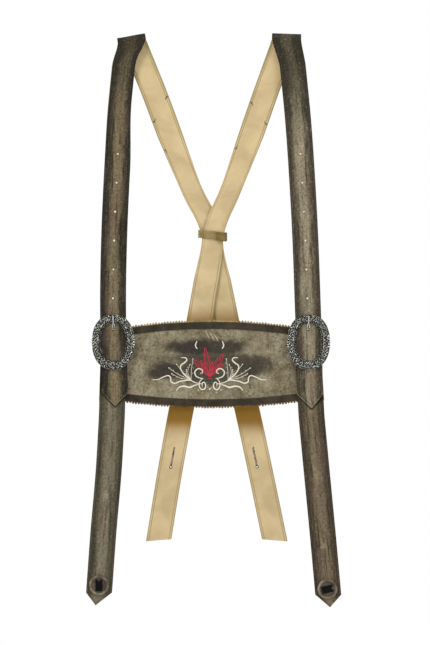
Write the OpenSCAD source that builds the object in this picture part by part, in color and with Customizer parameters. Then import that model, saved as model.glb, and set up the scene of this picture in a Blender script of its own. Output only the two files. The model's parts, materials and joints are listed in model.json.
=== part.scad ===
// Leather braces with a front crossbar: two long straps fold over the shoulders, cross behind in a
// keeper loop and end in buttonholes. In front each one runs down through an oval prong buckle, and a
// lower strap with a button disc hangs from the bar of each buckle, with the crossbar between them.
// The braces hang upright. +X is to the viewer's right, -Y is the front and +Z is up. The origin is at
// the top of the hanger that both shoulder folds lie over, midway between them.

/* [Straps] */
// Width of the front and lower straps
strap_w = 35; // [33:0.5:35.5]
// Width of the straps behind the shoulders
back_w = 33.5; // [30:0.5:33.5]
// Thickness of the suede face
suede_t = 1.6; // [1.4:0.1:1.7]
// Thickness of the smooth lining
lining_t = 1.2; // [1.0:0.1:1.3]
// Inner radius of the shoulder folds
fold_r = 5; // [4.5:0.5:8]
// Lean of the rear back strap away from the front, in degrees
rear_lean = 2.85; // [2.85:0.05:3.2]
// Lean of the nearer back strap, in degrees
near_lean = 2.0; // [1.8:0.05:2.0]

/* [Buckles] */
// Overall width of a buckle frame
frame_w = 56.5; // [55:0.5:58]
// Overall height of a buckle frame
frame_h = 73.5; // [70:0.5:76]
// Width of the frame's half-round rim
rim_w = 9.4; // [9:0.1:9.8]
// Radius of the buckle's bar
bar_r = 1.3; // [1.2:0.05:1.4]
// Radius of the prong's wire
prong_r = 1.1; // [0.9:0.05:1.2]

/* [Adjustment holes] */
// Distance from one hole to the next
hole_pitch = 38.9; // [30:0.1:39]
// Radius of a hole
hole_r = 1.6; // [1.2:0.1:2]
// Spare holes above the buckle
hole_count = 6; // [1:1:6]

/* [Crossbar] */
// Height of the crossbar where it meets the straps
crossbar_h = 98; // [90:1:100]
// Rise of its upper edge at the middle
upper_bow = 8.8; // [4:0.2:10]
// Drop of its lower edge at the middle
lower_bow = 7.4; // [4:0.2:9]
// Width of the dark trim along each edge
trim_w = 9.5; // [7:0.5:12]
// Length of one tooth of the pinked edge
tooth_pitch = 3.9; // [3:0.1:6]
// Height of one tooth
tooth_h = 2.4; // [1:0.1:3]

/* [Keeper and buttons] */
// Height of the keeper loop's band
keeper_h = 12; // [10:0.5:12]
// Diameter of a button disc
disc_d = 27; // [24:0.5:28]
// Radius of the round end of a back buttonhole
eye_r = 2.3; // [2:0.1:3]
// Length of a buttonhole's slit
slit_l = 26; // [18:1:30]

/* [Hidden] */

suede_colour = "#4f483e";
lining_colour = "#c6ad80";
silver_colour = "#8f8f8c";
round_fn = 64;
LEFT = 0;
RIGHT = 1;

// Layers from front to back. The lining of each strap faces the wearer.
strap_t = suede_t + lining_t;
front_y = -fold_r - strap_t;
gap = 0.4;
anchor_y = -fold_r + gap;
loop_r = bar_r + 0.1;
loop_outer_r = loop_r + suede_t;
bar_y = anchor_y + loop_outer_r;
rim_y = front_y - gap;
crossbar_y = bar_y + loop_outer_r + 0.1;
trim_t = 1.0;
leaf_t = 0.8;
thread_t = 0.6;

// Shoulder folds: middle of the fold's axis, its length and its slant.
fold_mid = [[-106.7, -8.8], [103.3, -5.4]];
fold_l = [41.3, 39.2];
fold_slant = [11.3, -1.9];
fold_gap = 0.8;

// Centrelines, as [x, z].
buckle_x = [-130.3, 133];
buckle_z = -414;
bar_z = buckle_z + 17;
front_line = [
    [[-113, -34], [-120.8, -115], [-125.8, -196], [-129.2, -277], [-130.6, -358], [-130.3, -397],
     [-128, -482]],
    [[110.8, -34], [118.8, -115], [124.4, -196], [128.7, -277], [131.6, -358], [133, -397],
     [134.8, -484]]
];
front_tip = [[-127.6, -500.5], [137, -503.5]];
back_flex_z = -395;
back_line = [
    [[-90.5, -40], [-76.3, -75], [-45.9, -156], [-21.6, -215], [-1.9, -254], [3.2, -272], [3.6, -288],
     [6.9, -310], [12.8, -338], [24.6, back_flex_z]],
    [[89, -40], [76.3, -75], [47.9, -156], [25.4, -215], [8.4, -254], [4, -272], [2.4, -288],
     [-1.3, -310], [-6.2, -338], [-16.6, back_flex_z]]
];
tail_line = [
    [[24.6, back_flex_z], [50.6, -507], [68.2, -588], [86.9, -678]],
    [[-16.6, back_flex_z], [-39.2, -507], [-54, -588], [-68.8, -678]]
];
slit_w = 1.2;
tail_end = [[[105.6, -685.2], [70.8, -682.4]], [[-52.4, -681.8], [-87, -684.5]]];
flex_z = -512;
lower_line = [
    [[-132.2, flex_z], [-136.6, -588], [-143.6, -669], [-149.6, -752]],
    [[136.8, flex_z], [144, -588], [151.8, -669], [159.6, -755]]
];
lower_tip = [[-154.4, -769.6], [162, -772.3]];
eye_at = [[64.1, -584], [-53.2, -584]];
slit_lean = [12, -10.5];
button_at = [[-149.6, -741.8], [158.4, -747]];
button_turn = [0, 78];

function unit(v) = v / norm(v);
function reversed(v) = [for (i = [len(v) - 1 : -1 : 0]) v[i]];
function slope(p, i) =
    i == 0 ? unit(p[1] - p[0]) :
    i == len(p) - 1 ? unit(p[i] - p[i - 1]) :
    let (h = norm(p[i] - p[i - 1]), k = norm(p[i + 1] - p[i]))
    ((p[i] - p[i - 1]) * k / h + (p[i + 1] - p[i]) * h / k) / (h + k);
function curve_point(p, i, t) =
    let (k = norm(p[i + 1] - p[i]), u = 1 - t)
    p[i] * u * u * (1 + 2 * t) + slope(p, i) * k * t * u * u
    + p[i + 1] * t * t * (3 - 2 * t) - slope(p, i + 1) * k * t * t * u;
// A smooth line through the points of p.
function curve(p, steps) =
    concat([for (i = [0 : len(p) - 2], k = [0 : steps - 1]) curve_point(p, i, k / steps)],
           [p[len(p) - 1]]);
function heading(c, i) = unit(c[min(i + 1, len(c) - 1)] - c[max(i - 1, 0)]);
// The straps are narrowed by pinch where the keeper gathers them.
function gathered(z) = lookup(-z, [[130, 0], [200, 1], [272, 1], [290, 0.7], [330, 0]]);
function strap_edge(c, shift, pinch) =
    [for (i = [0 : len(c) - 1])
        c[i] - [shift * (1 - pinch * gathered(c[i][1])) / heading(c, i)[1], 0]];
// Outline of a strap that runs down the line c.
function strap_band(c, w, head = [], tip = [], pinch = 0) =
    concat(reversed(strap_edge(c, -w / 2, pinch)), head, strap_edge(c, w / 2, pinch), tip);
function thread_edge(c, shift) =
    [for (i = [0 : len(c) - 1]) let (d = heading(c, i)) c[i] + [-d[1], d[0]] * shift];
function thread_band(c, w) = concat(reversed(thread_edge(c, -w / 2)), thread_edge(c, w / 2));
function fold_end(side, way, drop) =
    fold_mid[side] + way * fold_l[side] / 2 * [cos(fold_slant[side]), sin(fold_slant[side])]
    - [0, drop];
function fold_ends(side, drop) = [fold_end(side, -1, drop), fold_end(side, 1, drop)];

// A flat piece with its outline in X and Z, from y to y + t.
module sheet(outline, y, t) {
    translate([0, y + t, 0])
        rotate([90, 0, 0])
            linear_extrude(t)
                polygon(outline);
}

// A profile in Y and Z, drawn out along X by length, with its middle at x.
module along_x(x, length) {
    translate([x, 0, 0])
        rotate([90, 0, 90])
            translate([0, 0, -length / 2])
                linear_extrude(length)
                    children();
}

// A round hole or peg along Y.
module along_y(at, r, y, length) {
    translate([at[0], y + length, at[1]])
        rotate([90, 0, 0])
            cylinder(h = length, r = r, $fn = round_fn);
}

// A round rod in the plane x, from [y, z] to [y, z].
module rod(x, from, to, r) {
    run = to - from;
    translate([x, from[0], from[1]])
        rotate([atan2(-run[0], run[1]), 0, 0])
            cylinder(h = norm(run), r = r, $fn = 32);
}

// ---- Front straps ----
// Outline from the shoulder fold to the point below the buckle.
function front_outline(side) =
    strap_band(curve(front_line[side], 4), strap_w, fold_ends(side, 0), [front_tip[side]]);

// Spare adjustment holes on the centreline, counted up from the one in use.
module adjustment_holes(side) {
    for (i = [1 : hole_count]) {
        z = bar_z + 3 + i * hole_pitch;
        x = lookup(-z, [for (p = front_line[side]) [-p[1], p[0]]]);
        along_y([x, z], hole_r, front_y - 1, strap_t + 2);
    }
}

// The stretched hole that the prong goes through.
module prong_hole(side) {
    slot_r = prong_r + 0.35;
    for (z = [bar_z - 0.7, bar_z + 6.9])
        along_y([buckle_x[side], z], slot_r, front_y - 1, strap_t + 2);
    translate([buckle_x[side] - slot_r, front_y - 1, bar_z - 0.7])
        cube([2 * slot_r, strap_t + 2, 7.6]);
}

module front_layer(side, y, t) {
    difference() {
        sheet(front_outline(side), y, t);
        adjustment_holes(side);
        prong_hole(side);
    }
}
module front_suede(side) {
    color(suede_colour) front_layer(side, front_y, suede_t);
}
module front_lining(side) {
    color(lining_colour) front_layer(side, front_y + suede_t, lining_t);
}

// ---- Shoulder folds ----
module fold_layer(side, r, t) {
    translate([fold_mid[side][0], 0, fold_mid[side][1]])
        rotate([0, -fold_slant[side], 0])
            along_x(0, fold_l[side])
                difference() {
                    circle(r + t, $fn = round_fn);
                    circle(r, $fn = round_fn);
                    translate([-2 * r, -4 * r])
                        square([4 * r, 4 * r]);
                }
}
module fold_suede(side) {
    color(suede_colour) fold_layer(side, fold_r + lining_t, suede_t);
}
module fold_lining(side) {
    color(lining_colour) fold_layer(side, fold_r, lining_t);
}

// ---- Back straps, from the fold to where they flex behind the crossbar ----
// The strap from the left shoulder passes behind the one from the right.
keeper_pinch = 0.17;
flex_gap = 0.3;
function back_lean(side) = side == LEFT ? rear_lean : near_lean;
function cut_above(line, z) =
    [for (p = curve(line, 4)) if (p[1] > z + 1) p];
function line_x(line, z) = lookup(-z, [for (p = line) [-p[1], p[0]]]);
function back_outline(side) =
    let (c = cut_above(back_line[side], back_flex_z + strap_t / 2 + flex_gap),
         end = back_flex_z + strap_t / 2 + flex_gap)
    strap_band(concat(c, [[line_x(back_line[side], end), end]]), back_w,
               fold_ends(side, fold_gap), [], keeper_pinch);

module back_layer(side, y, t) {
    rotate([back_lean(side), 0, 0])
        sheet(back_outline(side), y, t);
}
module back_suede(side) {
    color(suede_colour) back_layer(side, fold_r + lining_t, suede_t);
}
module back_lining(side) {
    color(lining_colour) back_layer(side, fold_r, lining_t);
}

// ---- Tails of the back straps, which hang plumb ----
function tail_y(side) =
    (fold_r + strap_t / 2) * cos(back_lean(side)) - back_flex_z * sin(back_lean(side))
    - strap_t / 2;

// Slit and round eye that go over a trouser button.
module buttonhole(side) {
    depth = strap_t + 2;
    translate([eye_at[side][0], tail_y(side) - 1 + depth, eye_at[side][1]])
        rotate([90, 0, 0])
            linear_extrude(depth) {
                circle(eye_r, $fn = round_fn);
                rotate(slit_lean[side])
                    translate([-slit_w / 2, 0])
                        square([slit_w, slit_l]);
            }
}
// The round top end of a strap that turns about X in a line at height z, cut to one layer.
module flex_edge(x, w, mid_y, z, y, t) {
    intersection() {
        along_x(x, w)
            translate([mid_y, z])
                circle(strap_t / 2, $fn = round_fn);
        translate([x - w, y, z - 0.5])
            cube([2 * w, t, strap_t]);
    }
}
module tail_layer(side, y, t) {
    top = tail_line[side][0];
    difference() {
        union() {
            sheet(strap_band(curve(tail_line[side], 4), back_w, [], tail_end[side]), y, t);
            flex_edge(top[0], back_w, tail_y(side) + strap_t / 2, top[1], y, t);
        }
        buttonhole(side);
    }
}
module tail_suede(side) {
    color(suede_colour) tail_layer(side, tail_y(side) + lining_t, suede_t);
}
module tail_lining(side) {
    color(lining_colour) tail_layer(side, tail_y(side), lining_t);
}

// ---- Keeper loop ----
keeper_z = -269;
keeper_x = 3.4;
keeper_t = 1.5;
keeper_lean = (rear_lean + near_lean) / 2;
keeper_room = 0.4;
keeper_front = fold_r - keeper_z * sin(near_lean) - keeper_room;
keeper_back = fold_r + strap_t - keeper_z * sin(rear_lean) + keeper_room;
keeper_in_w = back_w + 2.7;

module rounded_box(w, d, r) {
    square([w, d - 2 * r], center = true);
    square([w - 2 * r, d], center = true);
    for (x = [-1, 1], y = [-1, 1])
        translate([x * (w / 2 - r), y * (d / 2 - r)])
            circle(r, $fn = 32);
}
// A band of suede wrapped round both back straps, its end lapped over the front.
module keeper_loop() {
    depth = keeper_back - keeper_front;
    color("#7b6749")
        translate([keeper_x, (keeper_front + keeper_back) / 2, keeper_z])
            rotate([keeper_lean, 0, 0])
                translate([0, 0, -keeper_h / 2]) {
                    linear_extrude(keeper_h)
                        difference() {
                            rounded_box(keeper_in_w + 2 * keeper_t, depth + 2 * keeper_t, 2.2);
                            rounded_box(keeper_in_w, depth, 0.8);
                        }
                    translate([3, -depth / 2 - 2 * keeper_t + 0.1, 0])
                        cube([keeper_in_w / 2 - 4, keeper_t, keeper_h]);
                }
}

// ---- Buckles ----
rim_r = rim_w / 2;
rim_fn = 160;
lug_in = 18.4;
lug_w = 3.6;
lug_r = 2.6;
eye_fit = 0.05;
prong_bend = [bar_y - 9.1, bar_z + 8.5];
prong_tip = [bar_y - 12.6, bar_z + 17.2];

// Oval ring with a rounded front, lying in X and Y with its flat back down.
module oval_rim() {
    difference() {
        scale([1, frame_h / frame_w, 1])
            rotate_extrude($fn = rim_fn)
                translate([frame_w / 2 - rim_r, 0])
                    intersection() {
                        circle(rim_r, $fn = round_fn);
                        translate([-rim_r, 0])
                            square([2 * rim_r, rim_r]);
                    }
        translate([0, 0, -1])
            scale([frame_w / 2 - rim_w, frame_h / 2 - rim_w, 1])
                cylinder(h = rim_w, r = 1, $fn = rim_fn);
    }
}
module buckle_frame(side) {
    x = buckle_x[side];
    color(silver_colour)
        difference() {
            union() {
                translate([x, rim_y, buckle_z])
                    rotate([90, 0, 0])
                        oval_rim();
                for (way = [-1, 1])
                    along_x(x + way * (lug_in + lug_w / 2), lug_w) {
                        translate([rim_y - 0.6, bar_z - lug_r])
                            square([bar_y - rim_y + 0.6, 2 * lug_r]);
                        translate([bar_y, bar_z])
                            circle(lug_r, $fn = round_fn);
                    }
            }
            rod(x, prong_bend, prong_tip, prong_r + 0.15);
            along_x(x, frame_w)
                translate([bar_y, bar_z])
                    circle(bar_r, $fn = round_fn);
        }
}
module buckle_bar(side) {
    color(silver_colour)
        along_x(buckle_x[side], 2 * (lug_in + lug_w))
            translate([bar_y, bar_z])
                circle(bar_r, $fn = round_fn);
}
// Round wire prong with an eye that turns on the bar.
module prong(side) {
    x = buckle_x[side];
    eye_w = 4.4;
    color("#b9b9b6")
        difference() {
            union() {
                rod(x, [bar_y, bar_z], prong_bend, prong_r);
                rod(x, prong_bend, prong_tip, prong_r);
                for (p = [prong_bend, prong_tip])
                    translate([x, p[0], p[1]])
                        sphere(prong_r, $fn = 32);
                along_x(x, eye_w)
                    translate([bar_y, bar_z])
                        circle(loop_outer_r - 0.2, $fn = round_fn);
            }
            along_x(x, eye_w + 4)
                translate([bar_y, bar_z])
                    circle(bar_r + eye_fit, $fn = round_fn);
        }
}

// ---- Anchors: the top of each lower strap, turned round the buckle's bar ----
anchor_end = flex_z + strap_t / 2 + flex_gap;
return_end = buckle_z - 79;
function anchor_outline(side, top, bottom) =
    strap_band([[buckle_x[side], top], [buckle_x[side], bar_z - 40],
          [lower_line[side][0][0], bottom]], strap_w);

module prong_notch(side) {
    translate([buckle_x[side] - 3.2, anchor_y - 1, bar_z - 5])
        cube([6.4, 4 * loop_outer_r, 12]);
}
module anchor_suede(side) {
    color(suede_colour)
        difference() {
            union() {
                along_x(buckle_x[side], strap_w)
                    difference() {
                        translate([bar_y, bar_z]) circle(loop_outer_r, $fn = round_fn);
                        translate([bar_y, bar_z]) circle(loop_r, $fn = round_fn);
                        translate([bar_y - 10, bar_z - 20]) square([20, 20]);
                    }
                sheet(anchor_outline(side, bar_z, anchor_end), anchor_y, suede_t);
                sheet(anchor_outline(side, bar_z, return_end), bar_y + loop_r, suede_t);
            }
            prong_notch(side);
        }
}
module anchor_lining(side) {
    color(lining_colour)
        sheet(anchor_outline(side, bar_z - 6, anchor_end), anchor_y + suede_t, lining_t);
}
module anchor_filler(side) {
    color(lining_colour)
        sheet(anchor_outline(side, bar_z - 6, return_end), anchor_y + strap_t,
              2 * loop_r - lining_t);
}

// ---- Crossbar ----
crossbar_mid = 1.4;
crossbar_reach = [-145, 147.5];
half_span = 115;
upper_z = -395.6;
lower_z = upper_z - crossbar_h;
function bow(x) = 1 - pow((x - crossbar_mid) / half_span, 2);
upper_edge = function (x) upper_z + upper_bow * bow(x);
lower_edge = function (x) lower_z - lower_bow * bow(x);
function spread(steps) =
    [for (i = [0 : steps]) crossbar_reach[0] + (crossbar_reach[1] - crossbar_reach[0]) * i / steps];
function strip(xs, top, bottom) =
    concat([for (x = xs) [x, top(x)]], reversed([for (x = xs) [x, bottom(x)]]));
edge_steps = 32;
teeth = floor((crossbar_reach[1] - crossbar_reach[0]) / tooth_pitch);

module crossbar_panel() {
    inset = 1;
    color("#6e6450")
        sheet(strip(spread(edge_steps), function (x) upper_edge(x) - inset,
                    function (x) lower_edge(x) + inset), crossbar_y + trim_t, suede_t);
}
module crossbar_upper_trim() {
    color("#2f261f")
        sheet(strip(spread(edge_steps), upper_edge, function (x) upper_edge(x) - trim_w),
              crossbar_y, trim_t);
}
module crossbar_lower_trim() {
    color("#2f261f")
        sheet(strip(spread(edge_steps), function (x) lower_edge(x) + trim_w, lower_edge),
              crossbar_y, trim_t);
}
// The leaf's zigzag edges show past both trims.
module crossbar_pinked_leaf() {
    xs = spread(2 * teeth);
    upper = [for (i = [0 : len(xs) - 1]) [xs[i], upper_edge(xs[i]) + (i % 2) * tooth_h]];
    lower = [for (i = [0 : len(xs) - 1]) [xs[i], lower_edge(xs[i]) - (i % 2) * tooth_h]];
    color("#a8875a")
        sheet(concat(upper, reversed(lower)), crossbar_y + trim_t + suede_t, leaf_t);
}
module crossbar_backing() {
    inset = 3;
    color(lining_colour)
        sheet(strip(spread(edge_steps), function (x) upper_edge(x) - inset,
                    function (x) lower_edge(x) + inset),
              crossbar_y + trim_t + suede_t + leaf_t, lining_t);
}

// ---- Embroidery: a flower over mirrored scrolls, in raised thread ----
motif = [-2.7, -461];
thread_w = 2;
module thread(points) {
    sheet(thread_band(curve([for (p = points) motif + p], 3), thread_w),
          crossbar_y + trim_t - thread_t, thread_t);
}
module mirrored_thread(points) {
    for (way = [-1, 1])
        thread([for (p = points) [way * p[0], p[1]]]);
}
module mirrored_ring(at, r) {
    for (way = [-1, 1])
        difference() {
            along_y(motif + [way * at[0], at[1]], r, crossbar_y + trim_t - thread_t, thread_t);
            along_y(motif + [way * at[0], at[1]], r - thread_w, crossbar_y, trim_t + 1);
        }
}
// A petal is the overlap of two circles, pointed at both ends.
module petal(lean, length, width) {
    r = (length * length + width * width) / (4 * width);
    translate([motif[0], crossbar_y + trim_t, motif[1]])
        rotate([0, lean, 0])
            rotate([90, 0, 0])
                linear_extrude(thread_t)
                    intersection() {
                        translate([width / 2 - r, length / 2]) circle(r, $fn = 96);
                        translate([r - width / 2, length / 2]) circle(r, $fn = 96);
                    }
}
module embroidery_red() {
    color("#b01c38") {
        along_y(motif, 3, crossbar_y + trim_t - thread_t, thread_t);
        petal(-6, 39, 9);
        petal(-42, 30, 8);
        petal(38, 37, 8);
        petal(-64, 20, 6);
        petal(62, 20, 6);
    }
}
module embroidery_white() {
    color("#d9d2bf") {
        mirrored_thread([[20, -8], [33, -5.5], [45, -10], [53, -7], [56, 1], [62, 3.5], [74, -1.5]]);
        mirrored_thread([[15, -13], [24, -17], [35, -14], [43, -19]]);
        mirrored_thread([[24, -3.5], [32, 4], [36.5, 13], [30, 21], [37, 24]]);
        mirrored_thread([[19.5, 44], [21.5, 38.5], [19, 33]]);
        mirrored_ring([9.5, -14], 4.2);
    }
}
module embroidery_green() {
    color("#2f5a3c")
        for (way = [-1, 1])
            sheet([for (p = [[2.5, -7.5], [9, -2.5], [15, -6], [9, -6.5]])
                       motif + [way * p[0], p[1]]],
                  crossbar_y + trim_t - thread_t / 2, thread_t / 2);
}

// ---- Lower straps, which flex below the crossbar ----
flex_y = anchor_y + strap_t / 2;
button_peg_r = 2.25;
button_fit = 0.05;

module lower_layer(side, y, t) {
    top = lower_line[side][0];
    difference() {
        union() {
            sheet(strap_band(curve(lower_line[side], 4), strap_w, [], [lower_tip[side]]), y, t);
            flex_edge(top[0], strap_w, flex_y, flex_z, y, t);
        }
        along_y(button_at[side], button_peg_r + button_fit, y - 1, t + 2);
    }
}
module lower_suede(side) {
    color(suede_colour) lower_layer(side, anchor_y, suede_t);
}
module lower_lining(side) {
    color(lining_colour) lower_layer(side, anchor_y + suede_t, lining_t);
}

// ---- Button discs, which swivel on a thong through the lower strap ----
disc_t = 2;
rim_t = 0.8;
button_bar_t = 2.8;
button_bar_w = 9.5;
button_bar_l = 15.5;
washer_t = 1.6;
button_gap = 0.3;
disc_y = anchor_y - button_gap - disc_t;
washer_y = anchor_y + strap_t + button_gap;

module button_disc(side) {
    at = button_at[side];
    color("#6a6055")
        difference() {
            union() {
                along_y(at, disc_d / 2, disc_y, disc_t);
                along_y(at, disc_d / 2, disc_y - rim_t, rim_t + 0.1);
            }
            along_y(at, disc_d / 2 - 2.2, disc_y - rim_t - 1, rim_t + 1);
            along_y(at, button_peg_r, disc_y - 1, disc_t + 2);
        }
}
// A black bar across the disc, notched at one end.
module button_bar(side) {
    at = button_at[side];
    color("#141312")
        translate([at[0], disc_y, at[1]])
            rotate([90, button_turn[side], 0])
                linear_extrude(button_bar_t)
                    polygon([[-button_bar_w / 2, -button_bar_l / 2],
                             [button_bar_w / 2, -button_bar_l / 2],
                             [button_bar_w / 2, button_bar_l / 2],
                             [button_bar_w / 4, button_bar_l / 2],
                             [0, button_bar_l / 4],
                             [-button_bar_w / 4, button_bar_l / 2],
                             [-button_bar_w / 2, button_bar_l / 2]]);
}
module button_thong(side) {
    at = button_at[side];
    color("#9c8563") {
        along_y(at, button_peg_r, disc_y, washer_y + washer_t - disc_y);
        along_y(at, button_peg_r + 1.4, washer_y + washer_t, 1.6);
    }
}
module button_washer(side) {
    at = button_at[side];
    color(suede_colour)
        difference() {
            along_y(at, 7, washer_y, washer_t);
            along_y(at, button_peg_r, washer_y - 1, washer_t + 2);
        }
}

front_suede(LEFT);  // left_front_suede
front_lining(LEFT);  // left_front_lining
front_suede(RIGHT);  // right_front_suede
front_lining(RIGHT);  // right_front_lining
fold_suede(LEFT);  // left_fold_suede
fold_lining(LEFT);  // left_fold_lining
fold_suede(RIGHT);  // right_fold_suede
fold_lining(RIGHT);  // right_fold_lining
back_suede(LEFT);  // left_back_suede
back_lining(LEFT);  // left_back_lining
back_suede(RIGHT);  // right_back_suede
back_lining(RIGHT);  // right_back_lining
tail_suede(LEFT);  // left_tail_suede
tail_lining(LEFT);  // left_tail_lining
tail_suede(RIGHT);  // right_tail_suede
tail_lining(RIGHT);  // right_tail_lining
keeper_loop();
buckle_frame(LEFT);  // left_buckle_frame
buckle_bar(LEFT);  // left_buckle_bar
prong(LEFT);  // left_prong
buckle_frame(RIGHT);  // right_buckle_frame
buckle_bar(RIGHT);  // right_buckle_bar
prong(RIGHT);  // right_prong
anchor_suede(LEFT);  // left_anchor_suede
anchor_lining(LEFT);  // left_anchor_lining
anchor_filler(LEFT);  // left_anchor_filler
anchor_suede(RIGHT);  // right_anchor_suede
anchor_lining(RIGHT);  // right_anchor_lining
anchor_filler(RIGHT);  // right_anchor_filler
crossbar_panel();
crossbar_upper_trim();
crossbar_lower_trim();
crossbar_pinked_leaf();
crossbar_backing();
embroidery_red();
embroidery_white();
embroidery_green();
lower_suede(LEFT);  // left_lower_suede
lower_lining(LEFT);  // left_lower_lining
lower_suede(RIGHT);  // right_lower_suede
lower_lining(RIGHT);  // right_lower_lining
button_disc(LEFT);  // left_button_disc
button_bar(LEFT);  // left_button_bar
button_thong(LEFT);  // left_button_thong
button_washer(LEFT);  // left_button_washer
button_disc(RIGHT);  // right_button_disc
button_bar(RIGHT);  // right_button_bar
button_thong(RIGHT);  // right_button_thong
button_washer(RIGHT);  // right_button_washer
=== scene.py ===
"""Leather suspenders with an embroidered crossbar, hanging from their shoulder folds.

Lengths in this script are in millimetres, and they become metres where a mesh is made. Straps are ribbons
laid along their CAD pieces: every row of a ribbon is read from the CAD mesh at that height.
"""

import functools
import json
import math
import random

import bmesh
import bpy
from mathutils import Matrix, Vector, noise


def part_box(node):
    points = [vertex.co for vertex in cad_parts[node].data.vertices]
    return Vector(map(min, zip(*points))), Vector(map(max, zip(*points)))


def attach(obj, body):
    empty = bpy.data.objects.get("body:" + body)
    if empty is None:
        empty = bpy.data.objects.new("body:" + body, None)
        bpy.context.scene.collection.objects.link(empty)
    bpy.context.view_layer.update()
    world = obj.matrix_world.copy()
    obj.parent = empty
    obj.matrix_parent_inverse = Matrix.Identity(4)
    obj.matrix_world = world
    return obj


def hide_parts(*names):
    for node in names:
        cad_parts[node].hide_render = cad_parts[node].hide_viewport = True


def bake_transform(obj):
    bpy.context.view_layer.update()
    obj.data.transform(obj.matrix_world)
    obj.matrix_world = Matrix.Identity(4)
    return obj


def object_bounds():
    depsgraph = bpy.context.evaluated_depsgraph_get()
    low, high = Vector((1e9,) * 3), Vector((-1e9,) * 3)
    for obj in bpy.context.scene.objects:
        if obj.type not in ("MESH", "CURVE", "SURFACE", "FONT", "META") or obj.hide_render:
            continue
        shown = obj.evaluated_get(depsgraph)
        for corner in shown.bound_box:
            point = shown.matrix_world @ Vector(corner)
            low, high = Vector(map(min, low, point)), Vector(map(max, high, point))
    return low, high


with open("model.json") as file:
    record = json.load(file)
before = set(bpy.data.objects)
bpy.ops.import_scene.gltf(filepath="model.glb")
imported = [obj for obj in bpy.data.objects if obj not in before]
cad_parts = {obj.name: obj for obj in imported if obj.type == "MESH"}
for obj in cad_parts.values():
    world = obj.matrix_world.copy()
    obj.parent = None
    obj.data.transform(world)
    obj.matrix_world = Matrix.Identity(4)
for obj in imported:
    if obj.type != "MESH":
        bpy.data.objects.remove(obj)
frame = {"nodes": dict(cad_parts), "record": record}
CAD_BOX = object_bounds()

MM = 0.001
SIDES = ("left", "right")
FORWARD = Vector((0, -1, 0))

# Straps: thickness of both layers and of each one, and how far the stitched groove is from the edge.
STRAP_T = 2.8
SUEDE_T = 1.6
LINING_T = 1.2
GROOVE = 3.4
# How steeply the straps' pointed ends rise to both sides.
TIP_SLOPE = 1.0
# How far the two tails spread towards each other behind the crossbar's upper edge.
INNER_SPREAD = 1.9
# How the left fold's outer end is drawn in.
LEFT_FOLD_TUCK = Vector((2.8, 0, 1.4))

# Adjustment holes. Leather closes up on a punch or a blade, so they stand narrower than their tool.
HOLE_PITCH = 38.9
HOLE_COUNT = 6
HOLE_R = 1.05
PRONG_SLOT_R = 1.45
# The holes are counted from this far above the buckle's bar, and the first is one pitch higher.
HOLE_START = 3
# The strap is read this far above a hole, where its CAD face is whole.
CLEAR_OF_HOLE = 3
# Buttonholes: half the slit's width, its length and its lean in degrees, and the eye's radius.
SLIT_HALF = 0.22
SLIT_LENGTH = 26
SLIT_LEAN = {"left": -12.0, "right": 10.5}
EYE_R = 1.15

# Buckles: the radius of the CAD rim's section. The outline is a little squarer than an ellipse, which
# would be 1.
RIM_R = 4.7
OVAL_POWER = 0.86
# Sides of a disc's round outline.
DISC_SIDES = 72
# How far each black bar is turned on its disc, in degrees.
BUTTON_TURN = {"left": 0, "right": 78}

# Crossbar: width of the dark binding, and the pitch and height of the pinked teeth.
TRIM_W = 9.5
PINKING = (3.9, 3.0)
# Dark rubbed patches of the crossbar: place from its middle, half sizes and strength.
SMUDGES = ((-25, 22, 40, 13, 0.95), (17, 22, 34, 13, 0.88), (-5, 8, 64, 15, 0.8), (-58, -9, 30, 14, 0.9),
           (-4, -12, 58, 18, 0.8), (47, -3, 36, 20, 0.86))
# Pale scratches above the motif: place from the crossbar's middle, and slant.
SCRATCHES = ((2, 37, 0.55), (7, 36, 0.6), (-5, 40, 0.5))
# Loose thread ends in the back straps: height, edge and which way each one lies.
LOOSE_ENDS = {"left": ((-82, "right", -1), (-116, "left", 1), (-154, "left", -1)),
              "right": ((-152, "left", 1), (-119, "right", 1), (-90, "left", -1))}

# Suede of each strap: name, worn middle, bands along the edges, where its noise starts, the height in
# metres that it is darker above, and the side whose strap point casts the shadow painted onto it.
SUEDES = {
    "strap_left": ("suede_left", (116, 104, 80), (52, 49, 40), 3.0, -0.065),
    "strap_right": ("suede_right", (140, 130, 107), (74, 68, 55), 9.0, -0.1),
    "tail": ("suede_tail", (112, 100, 77), (70, 64, 51), 5.0),
    "lower_left": ("suede_lower_left", (118, 110, 92), (78, 74, 58), 13.0, None, "left"),
    "lower_right": ("suede_lower_right", (116, 103, 82), (72, 64, 50), 17.0, None, "right"),
}
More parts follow.
